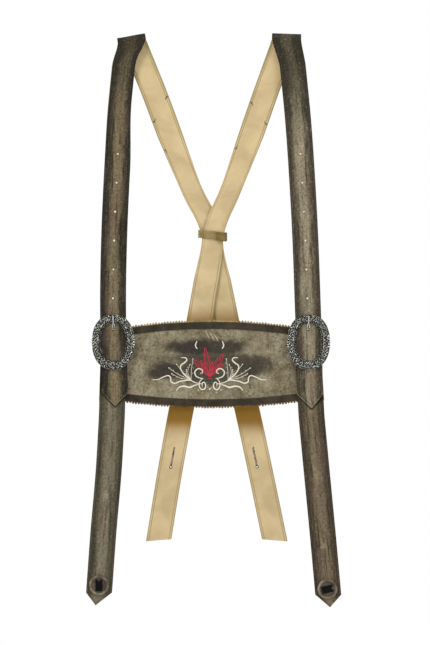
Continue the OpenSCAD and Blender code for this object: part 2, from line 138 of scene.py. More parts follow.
# Leathers: name, dark and light colour, scale of the grain, depth of the nap, contrast and roughness.
LEATHERS = {
    "trim": ("binding_leather", (46, 41, 32), (66, 59, 47), 1.0, 0.2, 1.3, 0.8),
    "leaf_upper": ("pinking_upper", (128, 108, 70), (196, 172, 120), 1.6),
    "leaf_lower": ("pinking_lower", (88, 68, 38), (160, 118, 58), 1.6),
    "backing": ("backing_leather", (176, 152, 110), (198, 176, 132), 0.6, 0.08, 0.4, 0.7),
    "keeper": ("keeper_suede", (126, 106, 66), (156, 136, 94), 1.4, 0.2, 1.2),
    "keeper_dark": ("keeper_lap_suede", (96, 76, 42), (128, 108, 70), 1.4, 0.2, 1.2),
    "burnt": ("burnt_edge", (56, 38, 22), (92, 66, 40), 1.4, 0.1, 0.6),
    "tip_edge": ("tip_cut_edge", (88, 80, 58), (150, 138, 102), 1.6),
    "fibres": ("worn_fibres", (150, 138, 96), (196, 184, 138), 1.0, 0.1, 0.6),
    "disc": ("disc_leather", (70, 60, 50), (104, 94, 80), 1.4, 0.16, 0.8),
    "disc_rim": ("disc_rim_leather", (84, 76, 62), (140, 130, 110), 1.4, 0.16, 0.9),
    "black": ("black_leather", (2, 2, 2), (8, 8, 7), 1.0, 0.05, 0.3, 0.9),
    "plain_tan": ("filler_leather", (176, 150, 104), (200, 176, 130), 0.6, 0.08, 0.4, 0.7),
}
# Threads: name, and the colours of its plies and of the gaps between them.
THREADS = {
    "seam_dark": ("seam_dark_thread", (60, 54, 42), (36, 32, 25)),
    "seam_tan": ("seam_tan_thread", (190, 166, 118), (140, 116, 70)),
    "white": ("white_silk", (238, 232, 216, 0.95), (200, 192, 172, 0.9)),
    "red": ("red_silk", (212, 32, 62, 0.9), (150, 16, 42)),
    "green": ("green_silk", (52, 96, 62), (26, 56, 34)),
}
# Metals: name, colour in the pits and on the rubbed parts, roughness, spread of the two, and how far into
# the recesses the blackening reaches, which is partly real oxide and partly painted shade.
METALS = {
    "buckle_leaves": ("silver_bright", (0.08, 0.08, 0.07), (0.95, 0.95, 0.9), 0.22, 0.12, 2.0),
    "buckle_braid": ("silver_worn", (0.025, 0.026, 0.021), (0.36, 0.36, 0.32), 0.3, 0.1, 2.6),
    "buckle_body": ("silver_oxidised", (0.02, 0.019, 0.017), (0.06, 0.057, 0.05), 0.6),
    "prong": ("silver_prong", (0.4, 0.39, 0.36), (0.72, 0.71, 0.68), 0.25),
    "steel": ("bar_steel_plain", (0.42, 0.41, 0.4), (0.6, 0.59, 0.57), 0.3),
}


# ---- Reading the CAD ----

@functools.cache
def corners(node):
    """Lowest and highest corner of a CAD node, in millimetres."""
    low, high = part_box(node)
    return (Vector(low) / MM).freeze(), (Vector(high) / MM).freeze()


def middle(node):
    low, high = corners(node)
    return (low + high) / 2


def level(node, z):
    """Where a CAD node is cut at height z: its left end and right end, at its middle depth."""
    mesh = frame["nodes"][node].data
    cuts = []
    for edge in mesh.edges:
        a, b = (mesh.vertices[i].co / MM for i in edge.vertices)
        if (a.z - z) * (b.z - z) < 0:
            cuts.append(a.lerp(b, (z - a.z) / (b.z - a.z)))
    y = (min(p.y for p in cuts) + max(p.y for p in cuts)) / 2
    return (Vector((min(p.x for p in cuts), y, z)), Vector((max(p.x for p in cuts), y, z)))


def strap_level(kind, side, z):
    """A strap of suede and lining at height z: its ends at the middle of both layers."""
    face, lining = level(f"{side}_{kind}_suede", z), level(f"{side}_{kind}_lining", z)
    low = min(face[0].y - SUEDE_T / 2, lining[0].y - LINING_T / 2)
    high = max(face[0].y + SUEDE_T / 2, lining[0].y + LINING_T / 2)
    return [Vector((p.x, (low + high) / 2, z)) for p in face]


def tip_place(side):
    """Where the point of a front strap lies."""
    left, right = level(f"{side}_front_suede", corners(f"{side}_front_suede")[0].z + 0.3)
    return (left + right) / 2


def recorded(rows, name):
    """The place of a joint or a mount."""
    return Vector(next(row for row in rows if row["name"] == name)["pos_m"]) / MM


def joint_place(name):
    return recorded(frame["record"]["behaviour"]["joints"], name)


# ---- Materials ----

class Graph:
    """Builds one material's nodes. A value is a number, a colour or another node's output."""

    def __init__(self, name):
        self.material = bpy.data.materials.new(name)
        self.material.use_nodes = True
        self.tree = self.material.node_tree
        self.tree.nodes.clear()
        output = self.tree.nodes.new("ShaderNodeOutputMaterial")
        self.shader = self.tree.nodes.new("ShaderNodeBsdfPrincipled")
        self.tree.links.new(self.shader.outputs["BSDF"], output.inputs["Surface"])

    def put(self, socket, value):
        if isinstance(value, bpy.types.NodeSocket):
            self.tree.links.new(value, socket)
        elif isinstance(value, (tuple, list)) and socket.type == "RGBA":
            socket.default_value = (*value[:3], 1)
        else:
            socket.default_value = value

    def add(self, kind, values=None, **settings):
        node = self.tree.nodes.new("ShaderNode" + kind)
        for key, value in settings.items():
            setattr(node, key, value)
        for key, value in (values or {}).items():
            self.put(node.inputs[key], value)
        return node

    def mapped(self, vector, scale=(1, 1, 1), shift=(0, 0, 0)):
        return self.add("Mapping", {"Vector": vector, "Scale": scale, "Location": shift}).outputs[0]

    def place(self, scale=(1, 1, 1), shift=(0, 0, 0)):
        """The object's own coordinates, in metres."""
        return self.mapped(self.add("TexCoord").outputs["Object"], scale, shift)

    def strap_uv(self):
        """Metres along a strap and across it from its middle, and the distance from its middle."""
        uv = self.add("UVMap", uv_map="strap").outputs[0]
        return uv, self.math("ABSOLUTE", self.axis(uv, "Y"))

    def noise(self, vector, scale, detail=4, rough=0.55, warp=0):
        """Noise with one scale, or stretched by a scale for each axis."""
        if isinstance(scale, tuple):
            vector, scale = self.mapped(vector, scale), 1.0
        values = {"Vector": vector, "Scale": scale, "Detail": detail, "Roughness": rough,
                  "Distortion": warp}
        return self.add("TexNoise", values).outputs["Fac"]

    def math(self, operation, a, b=0.0, c=0.0):
        return self.add("Math", {0: a, 1: b, 2: c}, operation=operation).outputs[0]

    def times(self, a, b):
        return self.math("MULTIPLY", a, b)

    def sway(self, source, amount, value):
        """Moves a value up and down with a noise."""
        return self.math("MULTIPLY_ADD", self.math("SUBTRACT", source, 0.5), amount, value)

    def step(self, value, low, high, to_low=0.0, to_high=1.0):
        values = {"Value": value, "From Min": low, "From Max": high, "To Min": to_low, "To Max": to_high}
        return self.add("MapRange", values, interpolation_type="SMOOTHSTEP").outputs["Result"]

    def stripe(self, value, low, high, soft=0.0006):
        """1 between low and high, with soft edges inside them."""
        return self.times(self.step(value, low, low + soft), self.step(value, high, high - soft))

    def mix(self, factor, a, b):
        node = self.add("Mix", data_type="RGBA")
        for socket, value in (("Factor", factor), (6, a), (7, b)):
            self.put(node.inputs[socket], value)
        return node.outputs[2]

    def axis(self, vector, name):
        return self.add("SeparateXYZ", {"Vector": vector}).outputs[name]

    def finish(self, colour, rough, height=None, depth_mm=0.1, **sockets):
        values = {"Base_Color": colour, "Roughness": rough, **sockets}
        if height is not None:
            bump = self.add("Bump", {"Height": height, "Strength": 1.0, "Distance": depth_mm * MM})
            values["Normal"] = bump.outputs[0]
        for key, value in values.items():
            self.put(self.shader.inputs[key.replace("_", " ")], value)
        return self.material


def shade(red, green, blue, gain=0.8):
    """A colour as it looks on a screen, from 0 to 255, as the surface's own linear colour."""
    return tuple(gain * (c / 255) ** 2.2 for c in (red, green, blue))


NAP = {"Sheen_Weight": 0.03, "Sheen_Roughness": 0.5}


def strap_suede(name, centre, bands, seed, dark_above=None, painted_tip_shadow_side=None):
    """Dark suede with a worn middle and burnished bands along both edges."""
    g = Graph(name)
    uv, across = g.strap_uv()
    shifted = g.mapped(uv, shift=(seed, 0, 0))
    streaks = g.noise(shifted, (11, 210, 1), 6, 0.7)
    threads = g.noise(shifted, (60, 760, 1), 5, 0.75)
    patches = g.noise(shifted, 34, 6, 0.7, 0.5)
    grain = g.noise(shifted, 330, 6, 0.85)
    tinge = g.noise(shifted, (17, 70, 1), 5, 0.65)
    centre, bands = shade(*centre), shade(*bands)
    deep = tuple(c * 0.28 for c in bands)
    worn = tuple(c * 1.8 for c in centre)
    band = g.step(g.sway(streaks, 0.012, g.sway(patches, 0.014, across)), 0.003, 0.0115)
    colour = g.mix(band, centre, bands)
    for amount, other in (
            (g.step(streaks, 0.5, 0.68, 0, 0.85), deep),
            (g.times(g.step(patches, 0.5, 0.66, 0, 0.7), g.step(band, 0.7, 0.0)), worn),
            (g.step(tinge, 0.5, 0.62, 0, 0.45), shade(92, 74, 66)),
            (g.step(tinge, 0.44, 0.34, 0, 0.3), deep),
            (g.step(threads, 0.54, 0.72, 0, 0.8), deep),
            (g.step(threads, 0.45, 0.3, 0, 0.55), worn),
            (g.times(g.stripe(across, 0.0132, 0.0152), 0.6), deep),
            (g.times(g.step(across, 0.0160, 0.0172), 0.85), deep)):
        colour = g.mix(amount, colour, other)
    if dark_above is not None:
        top = g.sway(patches, 0.16, g.axis(g.place(), "Z"))
        colour = g.mix(g.step(top, dark_above - 0.06, dark_above + 0.06, 0, 0.8), colour, shade(42, 40, 31))
    # Painted shadow of the front strap's point: a dark band on the lower strap just below its V-shaped
    # edge.
    if painted_tip_shadow_side:
        tip = tip_place(painted_tip_shadow_side) * MM
        at = g.place()
        aside = g.math("ABSOLUTE", g.math("SUBTRACT", g.axis(at, "X"), tip.x))
        depth = g.math("MULTIPLY_ADD", aside, TIP_SLOPE, g.math("SUBTRACT", tip.z, g.axis(at, "Z")))
        colour = g.mix(g.step(depth, 0.0045, 0.0008, 0, 0.9), colour, shade(22, 20, 15))
    colour = g.mix(g.step(grain, 0.46, 0.67, 0, 0.78), colour, deep)
    colour = g.mix(g.step(grain, 0.44, 0.3, 0, 0.65), colour, worn)
    bump = g.math("ADD", grain, g.times(streaks, 1.4))
    return g.finish(colour, 0.92, bump, 0.22, **NAP, Specular_IOR_Level=0.12)


def smooth_lining(name):
    """Tan vegetable-tanned leather with pores, faint creases, rubbed edges and a painted shadow of the
    crossbar low down.
    """
    g = Graph(name)
    uv, across = g.strap_uv()
    clouds = g.noise(uv, 28, 4, 0.6, 0.4)
    pores = g.add("TexVoronoi", {"Vector": uv, "Scale": 1100}, feature="F1").outputs["Distance"]
    flecks = g.noise(uv, (260, 900, 1), 3)
    tufts = g.noise(uv, (75, 120, 1), 5, 0.8)
    height = g.axis(g.place(), "Z")
    # Painted shadow of the crossbar on the back straps: dark ochre from just above the crossbar's height to
    # a soft edge below it.
    crossbar_shadow_paint = g.times(g.step(g.sway(clouds, 0.02, height), -0.545, -0.518), g.step(height, -0.36, -0.40))
    colour = g.mix(g.step(clouds, 0.3, 0.7), shade(178, 157, 117), shade(197, 175, 133))
    for amount, other in (
            (g.step(flecks, 0.62, 0.8, 0, 0.5), shade(140, 118, 76)),
            (g.step(tufts, 0.66, 0.74, 0, 0.7), shade(84, 70, 44)),
            (g.times(g.stripe(across, 0.0128, 0.0144), 0.55), shade(120, 104, 66)),
            (g.times(g.step(across, 0.0150, 0.0166), 0.8), shade(132, 122, 74)),
            (g.times(crossbar_shadow_paint, 0.95), shade(136, 98, 18))):
        colour = g.mix(amount, colour, other)
    bump = g.math("ADD", g.times(pores, 0.6), clouds)
    return g.finish(colour, g.step(flecks, 0.3, 0.7, 0.75, 0.6), bump, 0.08, Specular_IOR_Level=0.2)


def cut_edge(name, dark, light):
    """The raw edge of leather: fibres that run along the strap."""
    g = Graph(name)
    fibres = g.noise(g.strap_uv()[0], (300, 2600, 1), 4)
    return g.finish(g.mix(g.step(fibres, 0.35, 0.65), shade(*dark), shade(*light)), 0.85, fibres, 0.12)


def rough_leather(name, low, high, scale=1.0, nap_depth=0.16, contrast=1.0, rough=0.9):
    """Suede or split leather placed by object coordinates, for pieces with no strap direction."""
    g = Graph(name)
    at = g.place()
    clouds = g.noise(at, 60 * scale, 4, 0.6, 0.3)
    grain = g.noise(at, 520 * scale, 5, 0.8)
    scuffs = g.noise(g.place((90, 90, 500)), 1.0, 5, 0.7)
    low, high = shade(*low), shade(*high)
    deep, worn = tuple(c * 0.35 for c in low), tuple(min(1, c * 1.6) for c in high)
    colour = g.mix(g.step(clouds, 0.3, 0.7), low, high)
    colour = g.mix(g.step(grain, 0.48, 0.74, 0, 0.75 * contrast), colour, deep)
    colour = g.mix(g.step(grain, 0.42, 0.28, 0, 0.5 * contrast), colour, worn)
    colour = g.mix(g.step(scuffs, 0.6, 0.78, 0, 0.4 * contrast), colour, worn)
    return g.finish(colour, rough, g.math("ADD", grain, clouds), nap_depth, **NAP, Specular_IOR_Level=0.15)


def panel_suede(name, centre):
    """Mottled grey-brown suede with charcoal smudges round the motif and pale scratches."""
    g = Graph(name)
    at = g.place()
    clouds = g.noise(at, 34, 5, 0.65, 0.6)
    mottle = g.noise(at, 170, 5, 0.7)
    grain = g.noise(at, 340, 6, 0.85)
    colour = g.mix(g.step(clouds, 0.32, 0.68), shade(108, 98, 76), shade(144, 135, 112))
    colour = g.mix(g.step(mottle, 0.5, 0.72, 0, 0.6), colour, shade(76, 69, 54))
    smudge = 0.0
    for x, z, wide, high, strength in SMUDGES:
        shift = (-(centre.x + x) / wide, 0, -(centre.z + z) / high)
        spot = g.place((1 / (wide * MM), 0, 1 / (high * MM)), shift)
        length = g.add("VectorMath", {0: spot}, operation="LENGTH").outputs["Value"]
        wavy = g.sway(mottle, 0.7, g.sway(clouds, 1.1, length))
        smudge = g.math("MAXIMUM", smudge, g.step(wavy, 1.15, 0.55, 0, strength))
    colour = g.mix(smudge, colour, shade(50, 46, 42))
    for x, z, slant in SCRATCHES:
        near = g.place(shift=(-(centre.x + x) * MM, 0, -(centre.z + z) * MM))
        run = g.math("MULTIPLY_ADD", g.axis(near, "Z"), slant, g.axis(near, "X"))
        aside = g.math("ABSOLUTE", g.sway(mottle, 0.002, run))
        tall = g.math("ABSOLUTE", g.axis(near, "Z"))
        mark = g.times(g.step(aside, 0.0011, 0.0004), g.step(tall, 0.006, 0.004, 0, 0.8))
        colour = g.mix(mark, colour, shade(176, 164, 136))
    colour = g.mix(g.step(grain, 0.47, 0.7, 0, 0.8), colour, shade(44, 40, 32))
    colour = g.mix(g.times(g.step(grain, 0.45, 0.3, 0, 0.75), g.step(smudge, 0.9, 0.2, 0.15, 1)),
                   colour, shade(184, 174, 148))
    bump = g.math("ADD", grain, g.times(mottle, 1.5))
    return g.finish(colour, 0.92, bump, 0.22, **NAP, Specular_IOR_Level=0.12)


def silver(name, low, high, rough, spread=0.12, shade_and_oxide_reach=0.0):
    """Cast antique silver: bright where it is rubbed, and dull or black in the pits. The black in the
    recesses, found by ambient occlusion, is partly real oxide and partly painted shade.
    """
    g = Graph(name)
    at = g.place()
    pits = g.noise(at, 420, 5, 0.75)
    clouds = g.noise(at, 150, 3)
    colour = g.mix(g.step(pits, 0.5 - spread, 0.5 + spread), low, high)
    # Ambient occlusion blackens the recesses: partly the real oxide in them, partly painted shade.
    if shade_and_oxide_reach:
        shade_and_oxide = g.add("AmbientOcclusion", {"Distance": shade_and_oxide_reach * MM}).outputs["AO"]
        colour = g.mix(g.step(shade_and_oxide, 0.45, 0.9), tuple(c * 0.12 for c in low), colour)
    bump = g.math("ADD", pits, g.times(clouds, 0.5))
    return g.finish(colour, g.step(clouds, 0.35, 0.65, rough, rough + 0.18), bump, 0.3, Metallic=1.0)


def thread(name, colour, dull):
    """Twisted embroidery silk."""
    g = Graph(name)
    at = g.place()
    colour, dull = shade(*colour), shade(*dull)
    ply = g.add("TexWave", {"Vector": at, "Scale": 420, "Distortion": 2.5, "Detail": 2},
                bands_direction="DIAGONAL").outputs["Fac"]
    fuzz = g.noise(at, 900, 3)
    mixed = g.mix(g.step(ply, 0.2, 0.8, 0, 0.6), dull, colour)
    mixed = g.mix(g.step(fuzz, 0.5, 0.8, 0, 0.5), mixed, dull)
    return g.finish(mixed, 0.6, g.math("ADD", ply, fuzz), 0.2, Sheen_Weight=0.05)


# ---- Mesh helpers ----

def turns(count):
    """Angles at equal steps round a circle."""
    return [2 * math.pi * k / count for k in range(count)]


def skin(rows, size, wrap=False, flip=False):
    """Quads between rows of closed loops; wrap joins the last loop to the first."""
    faces = []
    for i in range(rows if wrap else rows - 1):
        j = (i + 1) % rows
        for k in range(size):
            m = (k + 1) % size
            a, b, c, d = i * size + k, i * size + m, j * size + m, j * size + k
            faces.append((a, d, c, b) if flip else (a, b, c, d))
    return faces


def caps(total, size, flip=False):
    """The first loop and the last one as faces."""
    first, last = tuple(range(size)), tuple(range(total - size, total))
    return [first, last[::-1]] if flip else [first[::-1], last]


def mesh_object(name, points, faces, materials, which=None, uvs=None, sharp=50):
    """One mesh from points in millimetres. which gives a material index for each face."""
    mesh = bpy.data.meshes.new(name)
    mesh.from_pydata([tuple(Vector(p) * MM) for p in points], [], faces)
    for material in materials:
        mesh.materials.append(material)
    for index, face in enumerate(mesh.polygons):
        face.use_smooth = True
        if which:
            face.material_index = which[index]
    if uvs:
        layer = mesh.uv_layers.new(name="strap")
        for loop in mesh.loops:
            layer.data[loop.index].uv = Vector(uvs[loop.vertex_index]) * MM
    mesh.validate()
    mesh.set_sharp_from_angle(angle=math.radians(sharp))
    piece = bpy.data.objects.new(name, mesh)
    bpy.context.collection.objects.link(piece)
    return piece


def joined(parts):
    """Several (points, faces) as one."""
    points, faces = [], []
    for more_points, more_faces in parts:
        base = len(points)
        points += more_points
        faces += [tuple(i + base for i in face) for face in more_faces]
    return points, faces


def declare(piece, slot, body, *nodes):
    """Puts a piece on the body that it rides on, and hides the CAD nodes that it stands for. Its finish,
    slot, is not used.
    """
    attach(piece, body)
    if nodes:
        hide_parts(*nodes)


def cut(piece, points_faces):
    """Cuts one closed shape out of a piece for good."""
    tool = mesh_object(piece.name + "_cutter", *points_faces, [])
    solid = bmesh.new()
    solid.from_mesh(tool.data)
    bmesh.ops.recalc_face_normals(solid, faces=solid.faces)
    solid.to_mesh(tool.data)
    solid.free()
    modifier = piece.modifiers.new("cut", "BOOLEAN")
    modifier.operation = "DIFFERENCE"
    modifier.solver = "EXACT"
    modifier.object = tool
    evaluated = piece.evaluated_get(bpy.context.evaluated_depsgraph_get())
    mesh = bpy.data.meshes.new_from_object(evaluated)
    piece.modifiers.clear()
    piece.data = mesh
    bpy.data.objects.remove(tool)


def slab(corners_xz, y_low, y_high):
    """A closed flat shape with its outline in X and Z."""
    count = len(corners_xz)
    points = [(x, y, z) for y in (y_low, y_high) for x, z in corners_xz]
    return points, skin(2, count) + caps(2 * count, count)


def peg(at, radius, half_length, sides=20):
    """A closed round peg along Y."""
    outline = [(at.x + radius * math.cos(turn), at.z + radius * math.sin(turn)) for turn in turns(sides)]
    return slab(outline, at.y - half_length, at.y + half_length)


def tube(path, radius, sides=8, closed=False, flat=1.0):
    """A round tube along a path; flat squashes it along Y."""
    points = []
    count = len(path)
    for i, at in enumerate(path):
        before = path[(i - 1) % count] if closed else path[max(i - 1, 0)]
        after = path[(i + 1) % count] if closed else path[min(i + 1, count - 1)]
        along = (after - before).normalized()
        side = along.cross(Vector((0, 1, 0)))
        if side.length < 1e-4:
            side = Vector((1, 0, 0))
        side.normalize()
        up = side.cross(along)
        r = radius(i / max(count - 1, 1)) if callable(radius) else radius
        for turn in turns(sides):
            offset = side * math.cos(turn) * r + up * math.sin(turn) * r
            points.append(at + Vector((offset.x, offset.y * flat, offset.z)))
    faces = skin(count, sides, closed, True)
    return points, faces if closed else faces + caps(len(points), sides, True)


def bead(at, along, length, width, height, rings=4, sides=8, up=FORWARD):
    """An egg-shaped bump at a place, with its long axis along and its height towards up."""
    along = along.normalized()
    up = up.normalized()
    side = along.cross(up)
    points = [at - along * length / 2]
    for i in range(1, rings):
        turn = math.pi * i / rings
        centre = at - along * math.cos(turn) * length / 2
        for spin in turns(sides):
            points.append(centre + math.sin(turn) * (side * math.cos(spin) * width / 2
                                                     + up * math.sin(spin) * height / 2))
    points.append(at + along * length / 2)
    last, tail = len(points) - 1, 1 + (rings - 2) * sides
    faces = [(0, 1 + (k + 1) % sides, 1 + k) for k in range(sides)]
    faces += [tuple(1 + i for i in face) for face in skin(rings - 1, sides)]
    faces += [(last, tail + k, tail + (k + 1) % sides) for k in range(sides)]
    return points, faces


def smooth_path(points, steps):
    """A rounded line through the points."""
    points = [Vector(p) for p in points]
    path = []
    for i in range(len(points) - 1):
        a, b = points[max(i - 1, 0)], points[i]
        c, d = points[i + 1], points[min(i + 2, len(points) - 1)]
        for k in range(steps):
            t = k / steps
            path.append(0.5 * (2 * b + (c - a) * t + (2 * a - 5 * b + 4 * c - d) * t * t
                               + (3 * b - a - 3 * c + d) * t ** 3))
    return path + [points[-1]]


def interpolate(line, x):
    """The height of a line of (x, z) points at x."""
    for (xa, za), (xb, zb) in zip(line, line[1:]):
        if xa <= x <= xb:
            return za + (zb - za) * (x - xa) / (xb - xa)
    return line[-1][1] if x > line[-1][0] else line[0][1]


# ---- Straps ----

def row_normals(rows):
    """The outward direction of each row: across times along."""
    normals = []
    for i, (left, right, _) in enumerate(rows):
        before, after = rows[max(i - 1, 0)], rows[min(i + 1, len(rows) - 1)]
        along = (after[0] + after[1] - before[0] - before[1]).normalized()
        normals.append((right - left).cross(along).normalized())
    return normals


def section(width, thickness):
    """One row's outline as (distance from the left edge, height), outer face first, and its materials."""
    reach = min(1.0, width / 2 / (GROOVE + 2))
    near = [(0.0, 0.3), (0.25, 0.43), (0.8, 0.5), (GROOVE - 0.7, 0.5), (GROOVE, 0.43),
            (GROOVE + 0.7, 0.5)]
    near = [(d * reach, h * thickness) for d, h in near]
    first, last = near[-1][0], width - near[-1][0]
    inner = [(first + (last - first) * k / 7, 0.5 * thickness) for k in range(1, 7)]
    outer = near + inner + [(width - d, h) for d, h in reversed(near)]
    layer, notch = 0.06 * thickness, 0.45 * reach
    loop = outer + [(width - notch, -layer)] + [(d, -h) for d, h in reversed(outer)] + [(notch, -layer)]
    return loop, [0] * (len(outer) - 1) + [2, 2] + [1] * (len(outer) - 1) + [2, 2]


def ribbon(name, rows, materials, wave=0.25, seed=0.0):
    """A strap through rows of (left, right, thickness), with its outer side to the rows' normal."""
    normals = row_normals(rows)
    points, uvs = [], []
    along = 0.0
    for i, (left, right, thickness) in enumerate(rows):
        width = (right - left).length
        across = (right - left).normalized()
        if i:
            along += ((left + right - rows[i - 1][0] - rows[i - 1][1]) / 2).length
        loop, face_of = section(width, thickness)
        for d, h in loop:
            swell = wave * noise.noise(Vector((d * 0.05 + seed, along * 0.022, seed)))
            points.append(left + across * d + normals[i] * (h + swell))
            uvs.append((along, d - width / 2))
    faces = skin(len(rows), len(face_of)) + caps(len(points), len(face_of))
    return mesh_object(name, points, faces, materials, face_of * (len(rows) - 1) + [2, 2], uvs, 40)


def stitching(name, rows, material, face, pitch=3.4, length=2.3, radius=0.28):
    """Two lines of stitches along a strap's grooves, on its outer side (1) or its inner side (-1)."""
    normals = row_normals(rows)
    parts = []
    for edge in (0, 1):
        line = []
        for (left, right, thickness), normal in zip(rows, normals):
            inset = GROOVE * min(1.0, (right - left).length / 2 / (GROOVE + 2))
            across = (right - left).normalized()
            at = left + across * inset if edge == 0 else right - across * inset
            line.append((at + normal * face * (thickness * 0.43 + 0.12), normal * face))
        travelled, due = 0.0, pitch / 2
        for (a, up), (b, _) in zip(line, line[1:]):
            gap = (b - a).length
            while due <= travelled + gap and gap > 1e-6:
                at = a.lerp(b, (due - travelled) / gap)
                parts.append(bead(at, b - a, length, radius * 2, radius * 2, 4, 6, up))
                due += pitch
            travelled += gap
    return mesh_object(name, *joined(parts), [material])


def ease(t):
    t = max(0.0, min(1.0, t))
    return t * t * (3 - 2 * t)


def bump_between(z, low, high, fade):
    """1 from low to high, easing to 0 over fade on both sides."""
    return ease((z - low + fade) / fade) * ease((high + fade - z) / fade)


def heights(top, bottom, pitch):
    count = max(1, round(abs(top - bottom) / pitch))
    return [top + (bottom - top) * i / count for i in range(count + 1)]


def level_rows(kind, side, levels):
    return [(*strap_level(kind, side, z), STRAP_T) for z in levels]


def fold_ends(side):
    """The two ends of the shoulder fold's axis, from the fold's own mesh."""
    points = [v.co / MM for v in frame["nodes"][f"{side}_fold_lining"].data.vertices]
    middle_x = (min(p.x for p in points) + max(p.x for p in points)) / 2
    ends = []
    for group in ([p for p in points if p.x < middle_x], [p for p in points if p.x > middle_x]):
        inner_z = min(p.z for p in group)
        low = [p for p in group if p.z - inner_z < 0.4]
        ends.append(Vector((sum(p.x for p in low) / len(low), 0, sum(p.z for p in low) / len(low))))
    if side == "left":
        ends[0] += LEFT_FOLD_TUCK
    return ends


def twisted(side, row):
    """Turns the left front strap a little just below its shoulder, inner edge to the back."""
    left, right, thickness = row
    if side == "right":
        return row
    z = (left.z + right.z) / 2
    amount = bump_between(z, -86, -34, 26 if z > -60 else 95)
    return left + Vector((0, -9.5, 0)) * amount, right + Vector((-5.0, 2.6, 0)) * amount, thickness


def long_strap_rows(side):
    """From the point below the buckle, up over the shoulder and down the back to the keeper."""
    shoulder = corners(f"{side}_front_suede")[0].z + 19
    front = strap_level("front", side, shoulder)
    depth = front[0].y
    tip = tip_place(side)
    tip.y = depth
    rows = []
    for i in range(9):
        t = ease(i / 8) * 0.35 + i / 8 * 0.65
        rows.append((*(tip.lerp(end, max(t, 0.03)) for end in front), STRAP_T))
    rows += level_rows("front", side, heights(shoulder + 5, -44, 7))
    ends = fold_ends(side)
    last = rows[-1]
    for i in range(1, 8):
        t = i / 8
        pair = []
        for start, end in zip(last, ends):
            at = start.lerp(Vector((end.x, depth, end.z)), t)
            at.x = start.x + (end.x - start.x) * (ease(t) + t) / 2
            pair.append(at)
        rows.append((*pair, STRAP_T))
    rows = [twisted(side, row) for row in rows]
    axis = (ends[1] - ends[0]).normalized()
    up = Vector((-axis.z, 0, axis.x))
    for i in range(17):
        turn = math.pi * (1 - i / 16)
        reach = (Vector((0, math.cos(turn), 0)) + up * math.sin(turn)) * abs(depth)
        rows.append((ends[0] + reach, ends[1] + reach, STRAP_T))
    start, first = rows[-1], strap_level("back", side, -52)
    rows += [(start[0].lerp(first[0], i / 8), start[1].lerp(first[1], i / 8), STRAP_T) for i in range(1, 8)]
    return rows + level_rows("back", side, heights(-52, middle("keeper_loop").z, 7))


def tail_rows(side):
    """From the keeper down to the free end, which is cut at a slant."""
    flex = joint_place(f"{side}_tail_flex").z
    low = corners(f"{side}_tail_suede")[0].z
    rows = level_rows("back", side, heights(middle("keeper_loop").z, flex + 4, 6))
    rows += level_rows("tail", side, heights(flex - 4, low + 4, 7))
    for left, right, _ in rows:
        amount = INNER_SPREAD * bump_between(left.z, flex - 35, flex + 17, 22)
        if side == "right":
            right.x += amount
        else:
            left.x -= amount
    left, right, _ = rows[-1]
    step = (left - rows[-2][0]).normalized() * 3
    slant = Vector((0, 0, -1.4 if side == "right" else 1.4))
    return rows + [(left + step + slant, right + step - slant, STRAP_T)]


def lower_rows(side):
    """From behind the buckle's bar, over it and down to the pointed end with the button."""
    bar = middle(f"{side}_buckle_bar")
    loop_r, half_w = 2.2, 17.5
    face_y = corners(f"{side}_lower_suede")[0].y + STRAP_T / 2
    flex = joint_place(f"{side}_lower_flex").z
    low = corners(f"{side}_lower_suede")[0].z

    def cad_rows(node, levels, y, thickness, above=0.0):
        cuts = [(level(f"{side}_{node}", z + above), z) for z in levels]
        return [(Vector((right.x, y, z)), Vector((left.x, y, z)), thickness) for (left, right), z in cuts]

    behind = heights(corners(f"{side}_anchor_filler")[0].z, bar.z, 12)[:-1]
    rows = cad_rows("anchor_filler", behind, bar.y + loop_r, SUEDE_T, 0.2)
    for i in range(13):
        turn = math.pi * i / 12
        at = bar + Vector((0, loop_r * math.cos(turn), loop_r * math.sin(turn)))
        across = Vector((half_w, 0, 0))
        rows.append((at + across, at - across, SUEDE_T))
    rows += cad_rows("anchor_lining", heights(bar.z - 8, flex + 4, 6), face_y, STRAP_T)
    rows += cad_rows("lower_suede", heights(flex - 4, low + 17.5, 7), face_y, STRAP_T)
    left, right = level(f"{side}_lower_suede", low + 0.3)
    tip = Vector(((left.x + right.x) / 2, face_y, low + 0.3))
    right, left, _ = rows[-1]
    for i in range(1, 9):
        t = min(i / 8, 0.97)
        rows.append((right.lerp(tip, t), left.lerp(tip, t), STRAP_T))
    return rows


# ---- Buckles ----

def rim_back(side):
    """Depth of the rim's flat back."""
    return corners(f"{side}_buckle_frame")[0].y + RIM_R


def oval(side, turn):
    """A point of the buckle rim's middle line, and the outward direction there."""
    low, high = corners(f"{side}_buckle_frame")
    half_w = (high.x - low.x) / 2 - RIM_R
    half_h = (high.z - low.z) / 2 - RIM_R
    right, up = math.cos(turn), math.sin(turn)

    def bent(value, power):
        return math.copysign(abs(value) ** power, value)

    at = Vector(((low.x + high.x) / 2 + half_w * bent(right, OVAL_POWER), 0,
                 (low.z + high.z) / 2 + half_h * bent(up, OVAL_POWER)))
    out = Vector((bent(right, 2 - OVAL_POWER) * half_h, 0, bent(up, 2 - OVAL_POWER) * half_w))
    return at, out.normalized()


@functools.cache
def oval_lengths(side, count=720):
    """Turns round the oval, and the length of its line up to each one."""
    steps = [2 * math.pi * i / count for i in range(count + 1)]
    lengths = [0.0]
    for a, b in zip(steps, steps[1:]):
        lengths.append(lengths[-1] + (oval(side, b)[0] - oval(side, a)[0]).length)
    return steps, lengths


